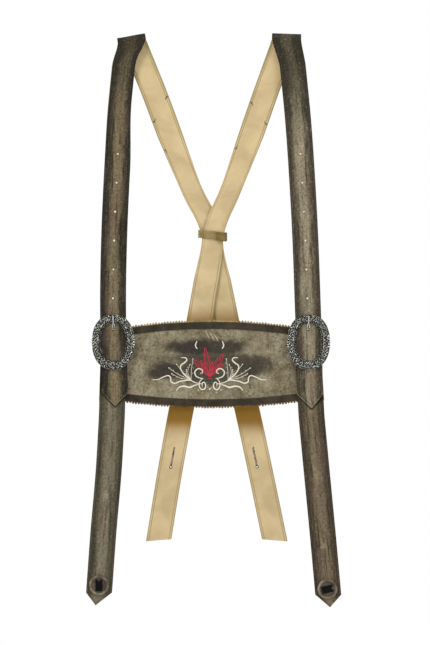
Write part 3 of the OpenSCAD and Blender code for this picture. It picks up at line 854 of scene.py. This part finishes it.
@functools.cache
def even_turns(side, count, shift=0.0):
    """Turns round the oval at equal steps of length."""
    steps, lengths = oval_lengths(side)
    found, j = [], 0
    for i in range(count):
        goal = (i + shift) / count * lengths[-1]
        while lengths[j + 1] < goal:
            j += 1
        found.append(steps[j] + (steps[j + 1] - steps[j]) * (goal - lengths[j])
                     / (lengths[j + 1] - lengths[j]))
    return found


def rim_point(side, turn, offset, height):
    """A point on the rim: offset outward from its middle line, height in front of its back."""
    at, out = oval(side, turn)
    at = at + out * offset
    at.y = rim_back(side) - height
    return at


def rim_base(side):
    """The rim's dark body: a low dome all the way round."""
    profile = [(-6.9, 0.2), (-7.0, 0.9), (-5.4, 1.7), (-2.8, 2.6), (0.0, 3.1), (1.8, 2.9), (3.6, 2.3),
               (4.6, 1.4), (4.5, 0.0)]
    steps = even_turns(side, 160)
    points = [rim_point(side, turn, offset, height) for turn in steps for offset, height in profile]
    return points, skin(len(steps), len(profile), wrap=True)


def wound(side, count, weaves, strands, spot, radius, sides):
    """Strands wound along the rim. spot gives a strand's offset and height at a phase."""
    parts = []
    for strand in range(strands):
        path = []
        for i, turn in enumerate(even_turns(side, count)):
            phase = 2 * math.pi * (i / count * weaves + strand / strands)
            path.append(rim_point(side, turn, *spot(phase)))
        parts.append(tube(path, radius, sides, closed=True))
    return parts


def rim_braid(side):
    """Three strands plaited round the rim, a twisted rope outside them and a row of beads inside."""
    parts = wound(side, 340, 14, 3, lambda phase: (2.9 * math.sin(phase) - 0.7,
                                                   3.3 + 0.6 * math.sin(2 * phase)), 0.82, 8)
    parts += wound(side, 420, 56, 2, lambda phase: (4.35 + 0.4 * math.cos(phase),
                                                    1.9 + 0.4 * math.sin(phase)), 0.45, 6)
    for i, turn in enumerate(even_turns(side, 58)):
        at = rim_point(side, turn, -5.5 - 0.5 * (i % 2), 1.7)
        parts.append(bead(at, oval(side, turn + 0.01)[0] - oval(side, turn)[0], 2.0, 1.7, 1.6))
    return parts


def rim_leaves(side):
    """Small leaves and curls between the plait's strands, no two quite alike."""
    dice = random.Random(7 if side == "left" else 11)
    parts = []
    for i, turn in enumerate(even_turns(side, 34, 0.5)):
        out = oval(side, turn)[1]
        along = Vector((-out.z, 0, out.x))
        swing = 1 if i % 2 else -1
        spot = rim_point(side, turn, swing * (2.9 + dice.uniform(-0.3, 0.3)), 3.3)
        lean = along * dice.uniform(0.5, 1.0) + out * swing * dice.uniform(0.3, 1.0)
        parts.append(bead(spot, lean, dice.uniform(2.8, 3.9), 1.5, 1.5, 5))
        curl = []
        for k in range(9):
            spin = swing * (k / 8 * 4.2) + dice.uniform(-0.1, 0.1)
            curl.append(rim_point(side, turn + 0.06, -swing * 2.6, 3.5)
                        + (along * math.cos(spin) + out * math.sin(spin)) * 1.35 * (1 - k / 14))
        parts.append(tube(curl, 0.38, 6))
    return parts


def rim_bosses(side):
    """A shell on each side of the rim, and small drops at the top and bottom of the opening."""
    parts = []
    for turn in (0.0, math.pi):
        out = oval(side, turn)[1]
        for k in range(-2, 3):
            spot = rim_point(side, turn + 0.075 * k, 4.3 - 0.25 * abs(k), 2.6)
            parts.append(bead(spot, out + Vector((0, 0, 0.28 * k)), 4.2 - 0.4 * abs(k), 1.7, 2.2, 5))
    for turn in (math.pi / 2, -math.pi / 2):
        for k in (-1, 0, 1):
            spot = rim_point(side, turn + 0.09 * k, -3.6, 2.7)
            parts.append(bead(spot, -oval(side, turn + 0.09 * k)[1], 4.4 - abs(k), 1.6, 2.0, 5))
    return parts


def lugs(side):
    """The two ears behind the rim that hold the bar."""
    bar_low, bar_high = corners(f"{side}_buckle_bar")
    bar, front = middle(f"{side}_buckle_bar"), rim_back(side) - 1.0
    outline = [(front, bar.z - 2.4), (front, bar.z + 2.4)]
    for i in range(9):
        turn = math.pi / 2 - math.pi * i / 8
        outline.append((bar.y + 2.5 * math.cos(turn), bar.z + 2.5 * math.sin(turn)))
    count = len(outline)
    parts = []
    for end, inward in ((bar_low.x, 1), (bar_high.x, -1)):
        points = [Vector((x, y, z)) for x in (end, end + inward * 3.6) for y, z in outline]
        parts.append((points, skin(2, count) + caps(2 * count, count)))
    return parts


def make_buckle(side, materials):
    for name, parts, sharp, nodes in (
            ("body", [rim_base(side)] + lugs(side), 60, [f"{side}_buckle_frame"]),
            ("braid", rim_braid(side), 80, []),
            ("leaves", rim_leaves(side) + rim_bosses(side), 80, [])):
        piece = mesh_object(f"{side}_buckle_{name}", *joined(parts), [materials["buckle_" + name]],
                            sharp=sharp)
        declare(piece, "buckle_silver", "front", *nodes)


# ---- Crossbar ----

def edge_curve(node, top, steps=96):
    """The long edge of a crossbar layer from its left end to its right end."""
    low, high = corners(node)
    line = {}
    for vertex in frame["nodes"][node].data.vertices:
        x, z = round(vertex.co.x / MM, 1), vertex.co.z / MM
        line[x] = max(line.get(x, -1e9), z) if top else min(line.get(x, 1e9), z)
    knots = sorted(line.items())
    path = []
    for i in range(steps + 1):
        x = low.x + (high.x - low.x) * i / steps
        k = max(j for j in range(len(knots)) if knots[j][0] <= x + 0.06)
        a, b = knots[k], knots[min(k + 1, len(knots) - 1)]
        t = (x - a[0]) / (b[0] - a[0]) if b[0] > a[0] else 0
        path.append((x, a[1] + (b[1] - a[1]) * t))
    return path


def moved(line, rise):
    return [(x, z + rise) for x, z in line]


def crossbar_face(name, upper, lower, back_y, thickness, material, rows=26, crown=0.5, edge_r=0.35):
    """A sheet between an upper and a lower line, with rounded long edges and a slight crown."""
    points, faces = [], []
    columns = len(upper)
    steps = [0.0, 0.012] + [0.03 + 0.94 * k / (rows - 1) for k in range(rows)] + [0.988, 1.0]
    for (x, z_up), (_, z_low) in zip(upper, lower):
        for t in steps:
            z = z_up + (z_low - z_up) * t
            rise = thickness - (edge_r if t in (0.0, 1.0) else 0)
            rise += crown * math.sin(math.pi * t) ** 0.5
            rise += 0.18 * noise.noise(Vector((x * 0.03, 2, z * 0.03)))
            points.append(Vector((x, back_y - rise, z)))
    for (x, z_up), (_, z_low) in zip(upper, lower):
        points += [Vector((x, back_y, z_up)), Vector((x, back_y, z_low))]
    size = len(steps)
    base = columns * size
    for i in range(columns - 1):
        near, far = i * size, (i + 1) * size
        faces += [(near + k, near + k + 1, far + k + 1, far + k) for k in range(size - 1)]
        a, b = base + 2 * i, base + 2 * (i + 1)
        faces += [(near, far, b, a), (far + size - 1, near + size - 1, a + 1, b + 1), (a, b, b + 1, a + 1)]
    last, end = (columns - 1) * size, base + 2 * columns
    faces += [(*range(size), base + 1, base), (*range(last, last + size), end - 1, end - 2)[::-1]]
    return mesh_object(name, points, faces, [material], sharp=45)


def pinked_line(line, way, dice):
    """Rounded teeth along a line, a little uneven as cut leather is."""
    pitch, height = PINKING
    path = []
    start, end = line[0][0], line[-1][0]
    for i in range(int((end - start) / pitch)):
        reach = height * dice.uniform(0.75, 1.12)
        for k in range(6):
            t = k / 6
            x = start + (i + t) * pitch
            lift = reach * max(0.0, math.sin(math.pi * t)) ** 0.6
            path.append((x + dice.uniform(-0.12, 0.12), interpolate(line, x) + way * lift))
    return path + [(end, interpolate(line, end))]


def leaf_strip(name, line, back, y_front, y_back, material):
    """A thin strip with one pinked edge: line is its free edge and back its hidden one."""
    points = [Vector((x, y, z)) for y in (y_front, y_back) for x, z in line + back]
    n = len(line)
    faces = []
    for i in range(n - 1):
        faces += [(i, i + 1, n + i + 1, n + i), (2 * n + i + 1, 2 * n + i, 3 * n + i, 3 * n + i + 1),
                  (i + 1, i, 2 * n + i, 2 * n + i + 1), (n + i, n + i + 1, 3 * n + i + 1, 3 * n + i)]
    faces += [(0, n, 3 * n, 2 * n), (2 * n - 1, n - 1, 3 * n - 1, 4 * n - 1)]
    return mesh_object(name, points, faces, [material], sharp=40)


def binding_stitches(upper, lower, depth):
    """Stitches along both edges of a binding."""
    parts = []
    for line, inset in ((upper, -1.3), (lower, 1.3)):
        x = line[0][0] + 1
        while x < line[-1][0] - 1:
            z, ahead = interpolate(line, x) + inset, interpolate(line, x + 1) + inset
            parts.append(bead(Vector((x, depth, z)), Vector((1, 0, ahead - z)), 1.9, 0.5, 0.5, 4, 6))
            x += 2.9
    return parts


def make_crossbar(materials):
    dice = random.Random(5)
    trim_back = corners("crossbar_upper_trim")[1].y
    outer_up, outer_low = edge_curve("crossbar_upper_trim", True), edge_curve("crossbar_lower_trim", False)
    front, back = (corner.y for corner in corners("crossbar_panel"))
    panel = crossbar_face("crossbar_field", moved(outer_up, -1), moved(outer_low, 1), back, back - front,
                          materials["panel"], 40, 0.45)
    declare(panel, "panel_suede", "front", "crossbar_panel")
    for name, upper, lower in (("upper", outer_up, moved(outer_up, -TRIM_W)),
                               ("lower", moved(outer_low, TRIM_W), outer_low)):
        trim = crossbar_face(f"crossbar_{name}_binding", upper, lower, trim_back, 1.1, materials["trim"],
                             10, 0.45)
        declare(trim, "trim_leather", "front", f"crossbar_{name}_trim")
        stitches = binding_stitches(upper, lower, trim_back - 1.36)
        seam = mesh_object(f"crossbar_{name}_seam", *joined(stitches), [materials["seam_dark"]])
        declare(seam, "trim_leather", "front")
    front, back = (corner.y for corner in corners("crossbar_pinked_leaf"))
    upper, lower = pinked_line(outer_up, 1, dice), pinked_line(outer_low, -1, dice)
    for name, line, outer, way in (("upper", upper, outer_up, 1), ("lower", lower, outer_low, -1)):
        hidden = [(x, interpolate(outer, x) - way * 12) for x, _ in line]
        leaf = leaf_strip(f"crossbar_{name}_pinking", line, hidden, front, back, materials["leaf_" + name])
        declare(leaf, "pinked_leather", "front", *(["crossbar_pinked_leaf"] if way > 0 else []))
    front, back = (corner.y for corner in corners("crossbar_backing"))
    backing = crossbar_face("crossbar_back_lining", moved(outer_up, -3), moved(outer_low, 3), front - 0.2,
                            front - back, materials["backing"], 20, -0.3, -0.3)
    declare(backing, "tan_lining", "front", "crossbar_backing")


# ---- Embroidery ----

def swelling(amount):
    """The radius of a stitched line that is thicker in its middle."""
    return lambda t: 0.4 + amount * math.sin(math.pi * min(max(t, 0.02), 0.98)) ** 0.7


THICK, MEDIUM = swelling(0.75), swelling(0.5)
# Thin tendrils beside the motif: where each one ends, and the point it bows through.
TENDRILS = ((55, 11.8, 42, 3), (51, 4, 40, -1.5), (44.5, 16.8, 36, 6), (26.5, 16.5, 29.5, 6),
            (22.5, 24, 24.5, 9), (31, 9.5, 30.5, 3))
# Lines that are mirrored about the motif's middle: points, radius, lift from the field, steps.
SCROLLS = (
    ([(15, -10.5), (21, -12), (27, -14.5), (34.5, -12.8), (41, -14.3), (45, -18.8)], THICK),
    ([(9, -10), (18.6, -8.2), (27, -4.8), (38.8, -6.1), (47.2, -8.9), (52.2, -6.5), (52.5, -1.9),
      (55.7, 1.5), (62.4, -0.4), (70, -3.9), (77, -3.9)], MEDIUM),
    ([(25, -5), (33.7, 2.4), (38.5, 9.1), (39, 15), (33.7, 19.2), (30.7, 22.6), (32.9, 25.6),
      (38.5, 25.6)], MEDIUM),
    ([(17, 48.3), (18.9, 43.5), (18.6, 40.5), (16.6, 37.8)], MEDIUM),
    ([(9, -2.5), (14, -1.5), (18.6, 1.2), (19.9, 6.6), (15.6, 10.8), (10.6, 9.6), (9.6, 5.7),
      (12.6, 4.2)], MEDIUM, 0.15, 5),
    ([(8.5, -2), (13, -6), (13.9, -12.8), (11, -17.2), (6.8, -16.4), (5.2, -12), (7, -7.6), (10, -8.8),
      (9.6, -13)], MEDIUM, 0.2, 5))
GREENERY = (
    ([(2, -4), (6, -4.4), (9.5, -2.4)], THICK, 0.1),
    ([(13.5, 7.4), (16.2, 5.2), (14.6, 1.6)], MEDIUM, 0.1),
    ([(16, -3), (20, -4.6), (23, -2)], MEDIUM, 0.25),
    ([(9, -10.5), (8.6, -13.6)], 0.6, 0.3),
    ([(20.5, 26), (21.8, 30), (18.6, 33.6)], 0.45))
# Round knots on both sides: place and size.
KNOTS = ((15.2, -18, 1.8), (3.2, -7.5, 1.2), (2.4, -14.5, 1.2), (9.5, -21, 1.2))
# Petals: lean in degrees, reach and width.
PETALS = ((-9, 39.5, 6.6), (31, 36, 8), (-42, 30.5, 7), (46, 25, 6), (-29, 25, 5.6), (10, 21, 5))


def petal(lean, reach, width, shrink):
    """A petal's outline, up one side and down the other."""
    turn = math.radians(lean)
    outline = []
    for k in range(17):
        t = k / 16 * 2
        way, s = (1, t) if t <= 1 else (-1, 2 - t)
        swell = way * width / 2 * shrink * math.sin(math.pi * s ** 1.25)
        length = reach * (s * shrink + (1 - shrink) * 0.62)
        outline.append((math.sin(turn) * length + math.cos(turn) * swell,
                        math.cos(turn) * length - math.sin(turn) * swell))
    return outline


def make_embroidery(materials):
    """A generic flower over mirrored scrolls, in raised thread on the crossbar's field."""
    centre = Vector((middle("embroidery_green").x + 2.2, 0, corners("embroidery_red")[0].z + 3))
    face_y = corners("crossbar_panel")[0].y - 0.45

    def line(way, points, radius, lift=0.0, steps=7):
        path = [centre + Vector((way * x, face_y - lift, z)) for x, z in points]
        return tube(smooth_path(path, steps), radius, 8, flat=0.75)

    def dot(x, z, size):
        return bead(centre + Vector((x, face_y - 0.2, z)), Vector((1, 0, 0)), size, size, 1.0, 5)

    white = []
    for way in (-1, 1):
        white += [line(way, *scroll) for scroll in SCROLLS]
        for k, (end_x, end_z, bow_x, bow_z) in enumerate(TENDRILS):
            white.append(line(way, [(25, -4.6), (bow_x, bow_z), (end_x, end_z)], 0.3, 0.05))
            for t in (0.35, 0.6, 0.82, 1.0):
                spread = (1 if (k + round(t * 10)) % 2 else -1) * (1.9 if t < 1 else 0)
                bow = 0.9 * math.sin(math.pi * t)
                x = 25 + (end_x - 25) * t + spread + (bow_x - (25 + end_x) / 2) * bow
                z = -4.6 + (end_z + 4.6) * t + (bow_z - (end_z - 4.6) / 2) * bow
                white.append(dot(way * x, z, 1.7 if t == 1.0 else 1.1))
        white += [dot(way * x, z, size) for x, z, size in KNOTS]
    white.append(dot(0.3, -16.5, 2.4))
    red = [line(1, petal(*leaf, shrink), radius, 0.1, 3) for leaf in PETALS
           for shrink, radius in ((1.0, 0.6), (0.45, 0.42))]
    red.append(line(1, [(-3.2, -1.6), (0, -2.8), (3.2, -1.6)], 0.6, 0.2))
    green = [line(way, *leaf) for way in (-1, 1) for leaf in GREENERY]
    green.append(line(1, [(-5, -6.4), (0, -7.6), (5, -6.4)], THICK, 0.1))
    for name, parts in (("white", white), ("red", red), ("green", green)):
        piece = mesh_object(f"{name}_embroidery", *joined(parts), [materials[name]], sharp=70)
        declare(piece, f"{name}_thread", "front", f"embroidery_{name}")


# ---- Keeper, buttons and prongs ----

def make_keeper(materials):
    """A suede band round both back straps, with its darker end lapped over the front and drooping."""
    low, high = corners("keeper_loop")
    centre = middle("keeper_loop")
    near = strap_level("back", "right", centre.z)[0].y - STRAP_T / 2 - 1.4
    far = strap_level("back", "left", centre.z)[0].y + STRAP_T / 2 + 1.1
    half_w = (high.x - low.x) / 2 - 0.8
    round_r = 2.0
    half_height = Vector((0, 0, 5.3))

    def row(x, y, drop=0.0):
        at = Vector((centre.x + x, y, centre.z - drop - 0.09 * x))
        return at - half_height, at + half_height, 1.4

    rows = [row(x, near) for x in (15, 9, 3, -3, -9, -14)]
    for way, y, y_way, start in ((-1, near, 1, 0), (-1, far, -1, 1), (1, far, -1, 0), (1, near, 1, 1)):
        for k in range(1, 6):
            turn = (k / 6 if start == 0 else 1 - k / 6) * math.pi / 2
            x = way * (half_w - round_r + round_r * math.sin(turn))
            rows.append(row(x, y + y_way * round_r * (1 - math.cos(turn))))
        if (way, start) == (-1, 1):
            rows += [row(x, far) for x in (-12, -4, 4, 12)]
    band = ribbon("keeper_band", rows[:-4], [materials["keeper"]] * 3, 0.15, 3)
    lap = [row(half_w + 0.4, far - 3), row(half_w + 0.4, (near + far) / 2, 0.6)]
    for x, y, drop in ((half_w, 0.4, 1.6), (half_w - 1.6, -1.3, 2.1), (14, -1.7, 2.2), (10, -1.9, 2.0),
                       (7, -1.9, 1.5), (5.2, -1.8, 1.2)):
        lap.append(row(x, near + y, drop))
    lapped = ribbon("keeper_lap", lap, [materials["keeper_dark"]] * 3, 0.2, 9)
    declare(band, "keeper_suede", "keeper", "keeper_loop")
    declare(lapped, "keeper_suede", "keeper")


def make_button(side, materials):
    body = f"{side}_button"
    low, high = corners(f"{side}_button_disc")
    at, radius = (low + high) / 2, (high.x - low.x) / 2
    back, face = high.y, high.y - 1.7
    profile = [(0.01, face), (4, face - 0.1), (radius - 3.6, face - 0.15), (radius - 2.8, face - 0.5),
               (radius - 2.0, face - 1.0), (radius - 1.1, face - 1.1), (radius - 0.35, face - 0.7),
               (radius, face + 0.2), (radius - 0.1, back - 0.3), (radius - 0.5, back), (0.01, back)]
    points = [Vector((at.x + r * math.cos(turn), y, at.z + r * math.sin(turn))) for r, y in profile
              for turn in turns(DISC_SIDES)]
    faces = skin(len(profile), DISC_SIDES, flip=True)
    which = [1 if 3 <= i // DISC_SIDES <= 7 else 0 for i in range(len(faces))]
    disc = mesh_object(f"{side}_disc", points, faces, [materials["disc"], materials["disc_rim"]], which,
                       sharp=60)
    declare(disc, "disc_leather", body, f"{side}_button_disc")
    stitches = []
    for turn in turns(30):
        out = Vector((math.cos(turn), 0, math.sin(turn)))
        spot = Vector((at.x, face - 0.25, at.z)) + out * (radius - 4.4)
        stitches.append(bead(spot, Vector((-out.z, 0, out.x)), 1.7, 0.5, 0.5, 4, 6))
    seam = mesh_object(f"{side}_disc_seam", *joined(stitches), [materials["seam_dark"]])
    declare(seam, "disc_leather", body)
    turn = math.radians(BUTTON_TURN[side])
    half_w, half_l = 4.7, 7.7
    outline = [(-half_w, -half_l), (half_w, -half_l), (half_w, half_l), (half_w * 0.5, half_l),
               (0, half_l * 0.55), (-half_w * 0.5, half_l), (-half_w, half_l)]
    layers = ((0.0, 0.25), (-0.35, 0.0), (-2.2, 0.0), (-2.6, 0.3), (-2.75, 0.8))
    points = []
    for rise, inset in layers:
        for x, z in outline:
            x, z = x * (1 - inset / half_w), z * (1 - inset / half_l)
            points.append(Vector((at.x + x * math.cos(turn) + z * math.sin(turn), face + rise,
                                  at.z - x * math.sin(turn) + z * math.cos(turn))))
    count = len(outline)
    faces = skin(len(layers), count) + caps(len(points), count, flip=True)
    bar = mesh_object(f"{side}_bar_of_disc", points, faces, [materials["black"]], sharp=35)
    declare(bar, "black_leather", body, f"{side}_button_bar")


def make_prong(side, material):
    low, high = corners(f"{side}_prong")
    bar = middle(f"{side}_buckle_bar")
    tip = Vector((bar.x, low.y + 1.1, high.z - 1.0))
    bend = Vector((bar.x, bar.y - 9.1, bar.z + 8.5))
    path = [bar + Vector((0, -1.6, 1.2)), bar.lerp(bend, 0.55), bend, bend.lerp(tip, 0.5), tip]
    shank = tube(smooth_path(path, 6), lambda t: 1.1 - 0.25 * t, 14)
    cap = bead(tip, tip - bend, 2.2, 1.72, 1.72, 6, 14)
    eye = []
    for turn in turns(24):
        out = Vector((0, math.cos(turn), math.sin(turn)))
        eye += [bar + out * (2.05 + r) + Vector((x, 0, 0))
                for x, r in ((-2.1, -0.6), (-2.1, 0.6), (2.1, 0.6), (2.1, -0.6))]
    parts = [shank, cap, (eye, skin(24, 4, wrap=True))]
    piece = mesh_object(f"{side}_prong_wire", *joined(parts), [material])
    declare(piece, "bar_steel", f"{side}_prong", f"{side}_prong")


# ---- Straps as pieces ----

def sewn(side, name, strap, rows, inner_rows, materials, soft, *more):
    """Sews a strap on both sides, and bakes the placement of strap, seams and more pieces. soft, the two
    bodies to bend between, is not used.
    """
    seam = stitching(f"{side}_{name}_seam", rows, materials["seam_dark"], 1)
    seam_in = stitching(f"{side}_{name}_seam_inside", inner_rows, materials["seam_tan"], -1)
    for piece in (strap, seam, seam_in, *more):
        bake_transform(piece)


def replace_layers(strap, side, *kinds):
    """Hides both CAD layers of each kind, which the strap is drawn in place of."""
    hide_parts(*(f"{side}_{kind}_{layer}" for kind in kinds for layer in ("suede", "lining")))


def flex_zone(side, name, reach):
    """The ends of a flex's soft zone, reach in metres above and below its joint."""
    flex = joint_place(f"{side}_{name}_flex") * MM
    return flex + Vector((0, 0, reach)), flex - Vector((0, 0, reach))


def cut_adjustment_holes(side, strap):
    """The spare holes up the middle of a front strap, and the slot the prong comes through."""
    bar = middle(f"{side}_buckle_bar")
    rings = []
    for i in range(1, HOLE_COUNT + 1):
        z = bar.z + HOLE_START + i * HOLE_PITCH
        left, right = strap_level("front", side, z + CLEAR_OF_HOLE)
        edge_a, edge_b, _ = twisted(side, (left, right, 0))
        at = (edge_a + edge_b) / 2
        at.z = z
        cut(strap, peg(at, HOLE_R, 6))
        rings.append(worn_ring(at, (right - left).normalized()))
    outline = []
    for z, start in ((bar.z - 0.7, math.pi), (bar.z + 6.9, 0.0)):
        for k in range(9):
            turn = start + math.pi * k / 8
            outline.append((bar.x + PRONG_SLOT_R * math.cos(turn), z + PRONG_SLOT_R * math.sin(turn)))
    y = strap_level("front", side, bar.z + 3)[0].y
    cut(strap, slab(outline, y - 4, y + 3.4))
    return rings


def worn_ring(at, across):
    """The pale fibres pushed up round a punched hole."""
    front = at + FORWARD * (STRAP_T / 2 + 0.05)
    path = []
    for turn in turns(16):
        reach = (HOLE_R + 0.15) * (1 + 0.05 * math.sin(2 * turn + at.z))
        path.append(front + across * math.cos(turn) * reach + Vector((0, 0, math.sin(turn) * reach)))
    return tube(path, 0.34, 6, closed=True)


def make_long_strap(side, materials):
    rows = long_strap_rows(side)
    strap = ribbon(f"{side}_long_strap", rows, materials["strap_" + side], 0.3, len(side))
    rings = cut_adjustment_holes(side, strap)
    fibres = mesh_object(f"{side}_hole_fibres", *joined(rings), [materials["fibres"]])
    # The pale cut edge that shows round the strap's point.
    near = rows[:10]
    path = [row[0] for row in reversed(near)] + [row[1] for row in near]
    path = [p + FORWARD * (STRAP_T / 2 - 0.1) for p in path]
    edge = mesh_object(f"{side}_tip_edge", *tube(path, 0.38, 6), [materials["tip_edge"]])
    replace_layers(strap, side, "front", "fold", "back")
    soft = ("front", "back", (0, -0.0045, 0), (0, 0.0045, 0))
    sewn(side, "long", strap, rows, rows, materials, soft, fibres, edge)


def make_loose_ends(side, materials):
    """Snipped ends of the seam's thread, left in the edges of the back straps."""
    parts = []
    for z, edge, lean in LOOSE_ENDS[side]:
        left, right = strap_level("back", side, z)
        start, other = (left, right) if edge == "left" else (right, left)
        inward = (other - start).normalized()
        at = start + inward * 2.6 + FORWARD * (STRAP_T / 2 + 0.35)
        parts.append(bead(at, inward, 2.2, 1.7, 1.0))
        end = [at, at + inward * 1.5 + Vector((0, -0.3, lean * 1.6)),
               at + inward * 2.2 + Vector((0, 0, lean * 4))]
        parts.append(tube(smooth_path(end, 4), 0.32, 6))
    ends = mesh_object(f"{side}_loose_ends", *joined(parts), [materials["seam_dark"]])
    declare(ends, "tan_lining", "back")


def make_buttonhole(side, strap, material):
    """A round eye with a slit above it, through the tail, and its dark frayed edge."""
    eye = recorded(frame["record"]["mounts"], f"{side}_buttonhole")
    lean = math.radians(SLIT_LEAN[side])
    along = Vector((math.sin(lean), 0, math.cos(lean)))
    off = Vector((math.cos(lean), 0, -math.sin(lean)))
    cut(strap, peg(eye, EYE_R, 3, 28))
    ends = [eye + off * a * SLIT_HALF + along * b * SLIT_LENGTH
            for a, b in ((-1, 0), (1, 0), (1, 1), (-1, 1))]
    cut(strap, slab([(p.x, p.z) for p in ends], eye.y - 3, eye.y + 3))
    front = eye + FORWARD * (STRAP_T / 2 + 0.15)
    dice = random.Random(len(side) + 30)
    parts = []
    for way in (-1, 1):
        reach = 2.0
        while reach < SLIT_LENGTH:
            size = dice.uniform(0.9, 1.9)
            at = front + along * (reach + size / 2) + off * way * (SLIT_HALF + dice.uniform(0.2, 0.5))
            parts.append(bead(at, along, size * 1.5, dice.uniform(0.7, 1.3), 0.6))
            reach += size
    for turn in turns(14):
        out = off * math.cos(turn) + along * math.sin(turn)
        parts.append(bead(front + out * (EYE_R + 0.45), out, dice.uniform(0.8, 1.5), 1.3, 0.6))
    edge = mesh_object(f"{side}_buttonhole_edge", *joined(parts), [material])
    declare(edge, "tan_lining", f"{side}_tail")


def make_tail(side, materials):
    rows = tail_rows(side)
    strap = ribbon(f"{side}_back_tail", rows, materials["tail"], 0.3, 20 + len(side))
    make_buttonhole(side, strap, materials["burnt"])
    replace_layers(strap, side, "tail")
    soft = ("back", f"{side}_tail", *flex_zone(side, "tail", 0.009))
    sewn(side, "tail", strap, rows, rows, materials, soft)


def make_lower_strap(side, materials):
    rows = lower_rows(side)
    strap = ribbon(f"{side}_hanging_strap", rows, materials["lower_" + side], 0.25, 40 + len(side))
    bar = middle(f"{side}_buckle_bar")
    # A notch lets the prong's eye sit on the bar, and a hole lets the button's thong through.
    notch = [(bar.x + x, bar.z + z) for x, z in ((-3.2, -5), (3.2, -5), (3.2, 7), (-3.2, 7))]
    cut(strap, slab(notch, bar.y - 6, bar.y + 6))
    cut(strap, peg(middle(f"{side}_button_thong"), 2.3, 8, 24))
    replace_layers(strap, side, "anchor", "lower")
    visible = [row for row in rows if row[0].y < bar.y - 1.4 and row[0].z < bar.z - 4]
    soft = ("front", f"{side}_lower", *flex_zone(side, "lower", 0.006))
    # The inner seam starts 14 rows further down.
    sewn(side, "hanging", strap, visible, visible[14:], materials, soft)


def paint(node, material):
    """Gives a CAD node that stays in view its detailed material."""
    piece = frame["nodes"][node]
    piece.data.materials.clear()
    piece.data.materials.append(material)


# ---- Stage ----

def add_light(name, place, size, power):
    light = bpy.data.lights.new(name, "AREA")
    light.size = size
    light.energy = power
    lamp = bpy.data.objects.new(name, light)
    lamp.location = place
    aim = Vector((0, 0, -0.38)) - Vector(place)
    lamp.rotation_euler = aim.to_track_quat("-Z", "Y").to_euler()
    bpy.context.collection.objects.link(lamp)


def make_stage():
    """A pale floor well below the object, white surroundings and soft studio light. In metres."""
    g = Graph("floor_paper")
    grain = g.noise(g.place(), 60, 3)
    paper = g.finish(g.mix(grain, (0.86, 0.86, 0.86), (0.9, 0.9, 0.9)), 0.9)
    floor_z = CAD_BOX[0][2] - 0.35
    reach = 1.3
    mesh = bpy.data.meshes.new("floor")
    mesh.from_pydata([(-reach, -reach, floor_z), (reach, -reach, floor_z), (reach, reach, floor_z),
                      (-reach, reach, floor_z)], [], [(0, 1, 2, 3)])
    mesh.materials.append(paper)
    floor = bpy.data.objects.new("floor", mesh)
    bpy.context.collection.objects.link(floor)
    world = bpy.data.worlds.new("white_studio")
    world.use_nodes = True
    world.node_tree.nodes["Background"].inputs["Color"].default_value = (1, 1, 1, 1)
    world.node_tree.nodes["Background"].inputs["Strength"].default_value = 1.0
    bpy.context.scene.world = world
    bpy.context.scene.view_settings.view_transform = "Standard"
    add_light("key", (-0.5, -1.3, 1.35), 0.5, 26)
    add_light("fill", (0.9, -1.6, 0.1), 0.9, 8)
    add_light("rim", (0.3, 1.5, 0.6), 0.8, 10)


def make_camera():
    """Straight at the front, far enough back to look nearly flat. In metres."""
    low, high = (Vector(p) for p in CAD_BOX)
    distance, view_height = 3.4, 0.871
    aside, lift = 0.0018, -0.0031
    data = bpy.data.cameras.new("camera")
    data.sensor_fit = "VERTICAL"
    data.sensor_height = 24
    data.lens = 24 * distance / view_height
    camera = bpy.data.objects.new("camera", data)
    camera.location = ((low.x + high.x) / 2 + aside, -distance, (low.z + high.z) / 2 + lift)
    camera.rotation_euler = (math.pi / 2, 0, 0)
    bpy.context.collection.objects.link(camera)
    bpy.context.scene.camera = camera


# ---- Everything ----

make_camera()
make_stage()

inner_layers = [smooth_lining("tan_lining_leather"), cut_edge("strap_edge", (70, 62, 46), (150, 138, 96))]
materials = {key: [strap_suede(*values), *inner_layers] for key, values in SUEDES.items()}
materials["panel"] = panel_suede("crossbar_suede", middle("crossbar_panel"))
for build, table in ((rough_leather, LEATHERS), (thread, THREADS), (silver, METALS)):
    materials.update({key: build(*values) for key, values in table.items()})

for side in SIDES:
    make_long_strap(side, materials)
    make_loose_ends(side, materials)
    make_tail(side, materials)
    make_lower_strap(side, materials)
    make_buckle(side, materials)
    make_prong(side, materials["prong"])
    make_button(side, materials)
    paint(f"{side}_buckle_bar", materials["steel"])
    paint(f"{side}_anchor_filler", materials["plain_tan"])
    paint(f"{side}_button_thong", materials["plain_tan"])
    paint(f"{side}_button_washer", materials["disc"])
make_crossbar(materials)
make_embroidery(materials)
make_keeper(materials)
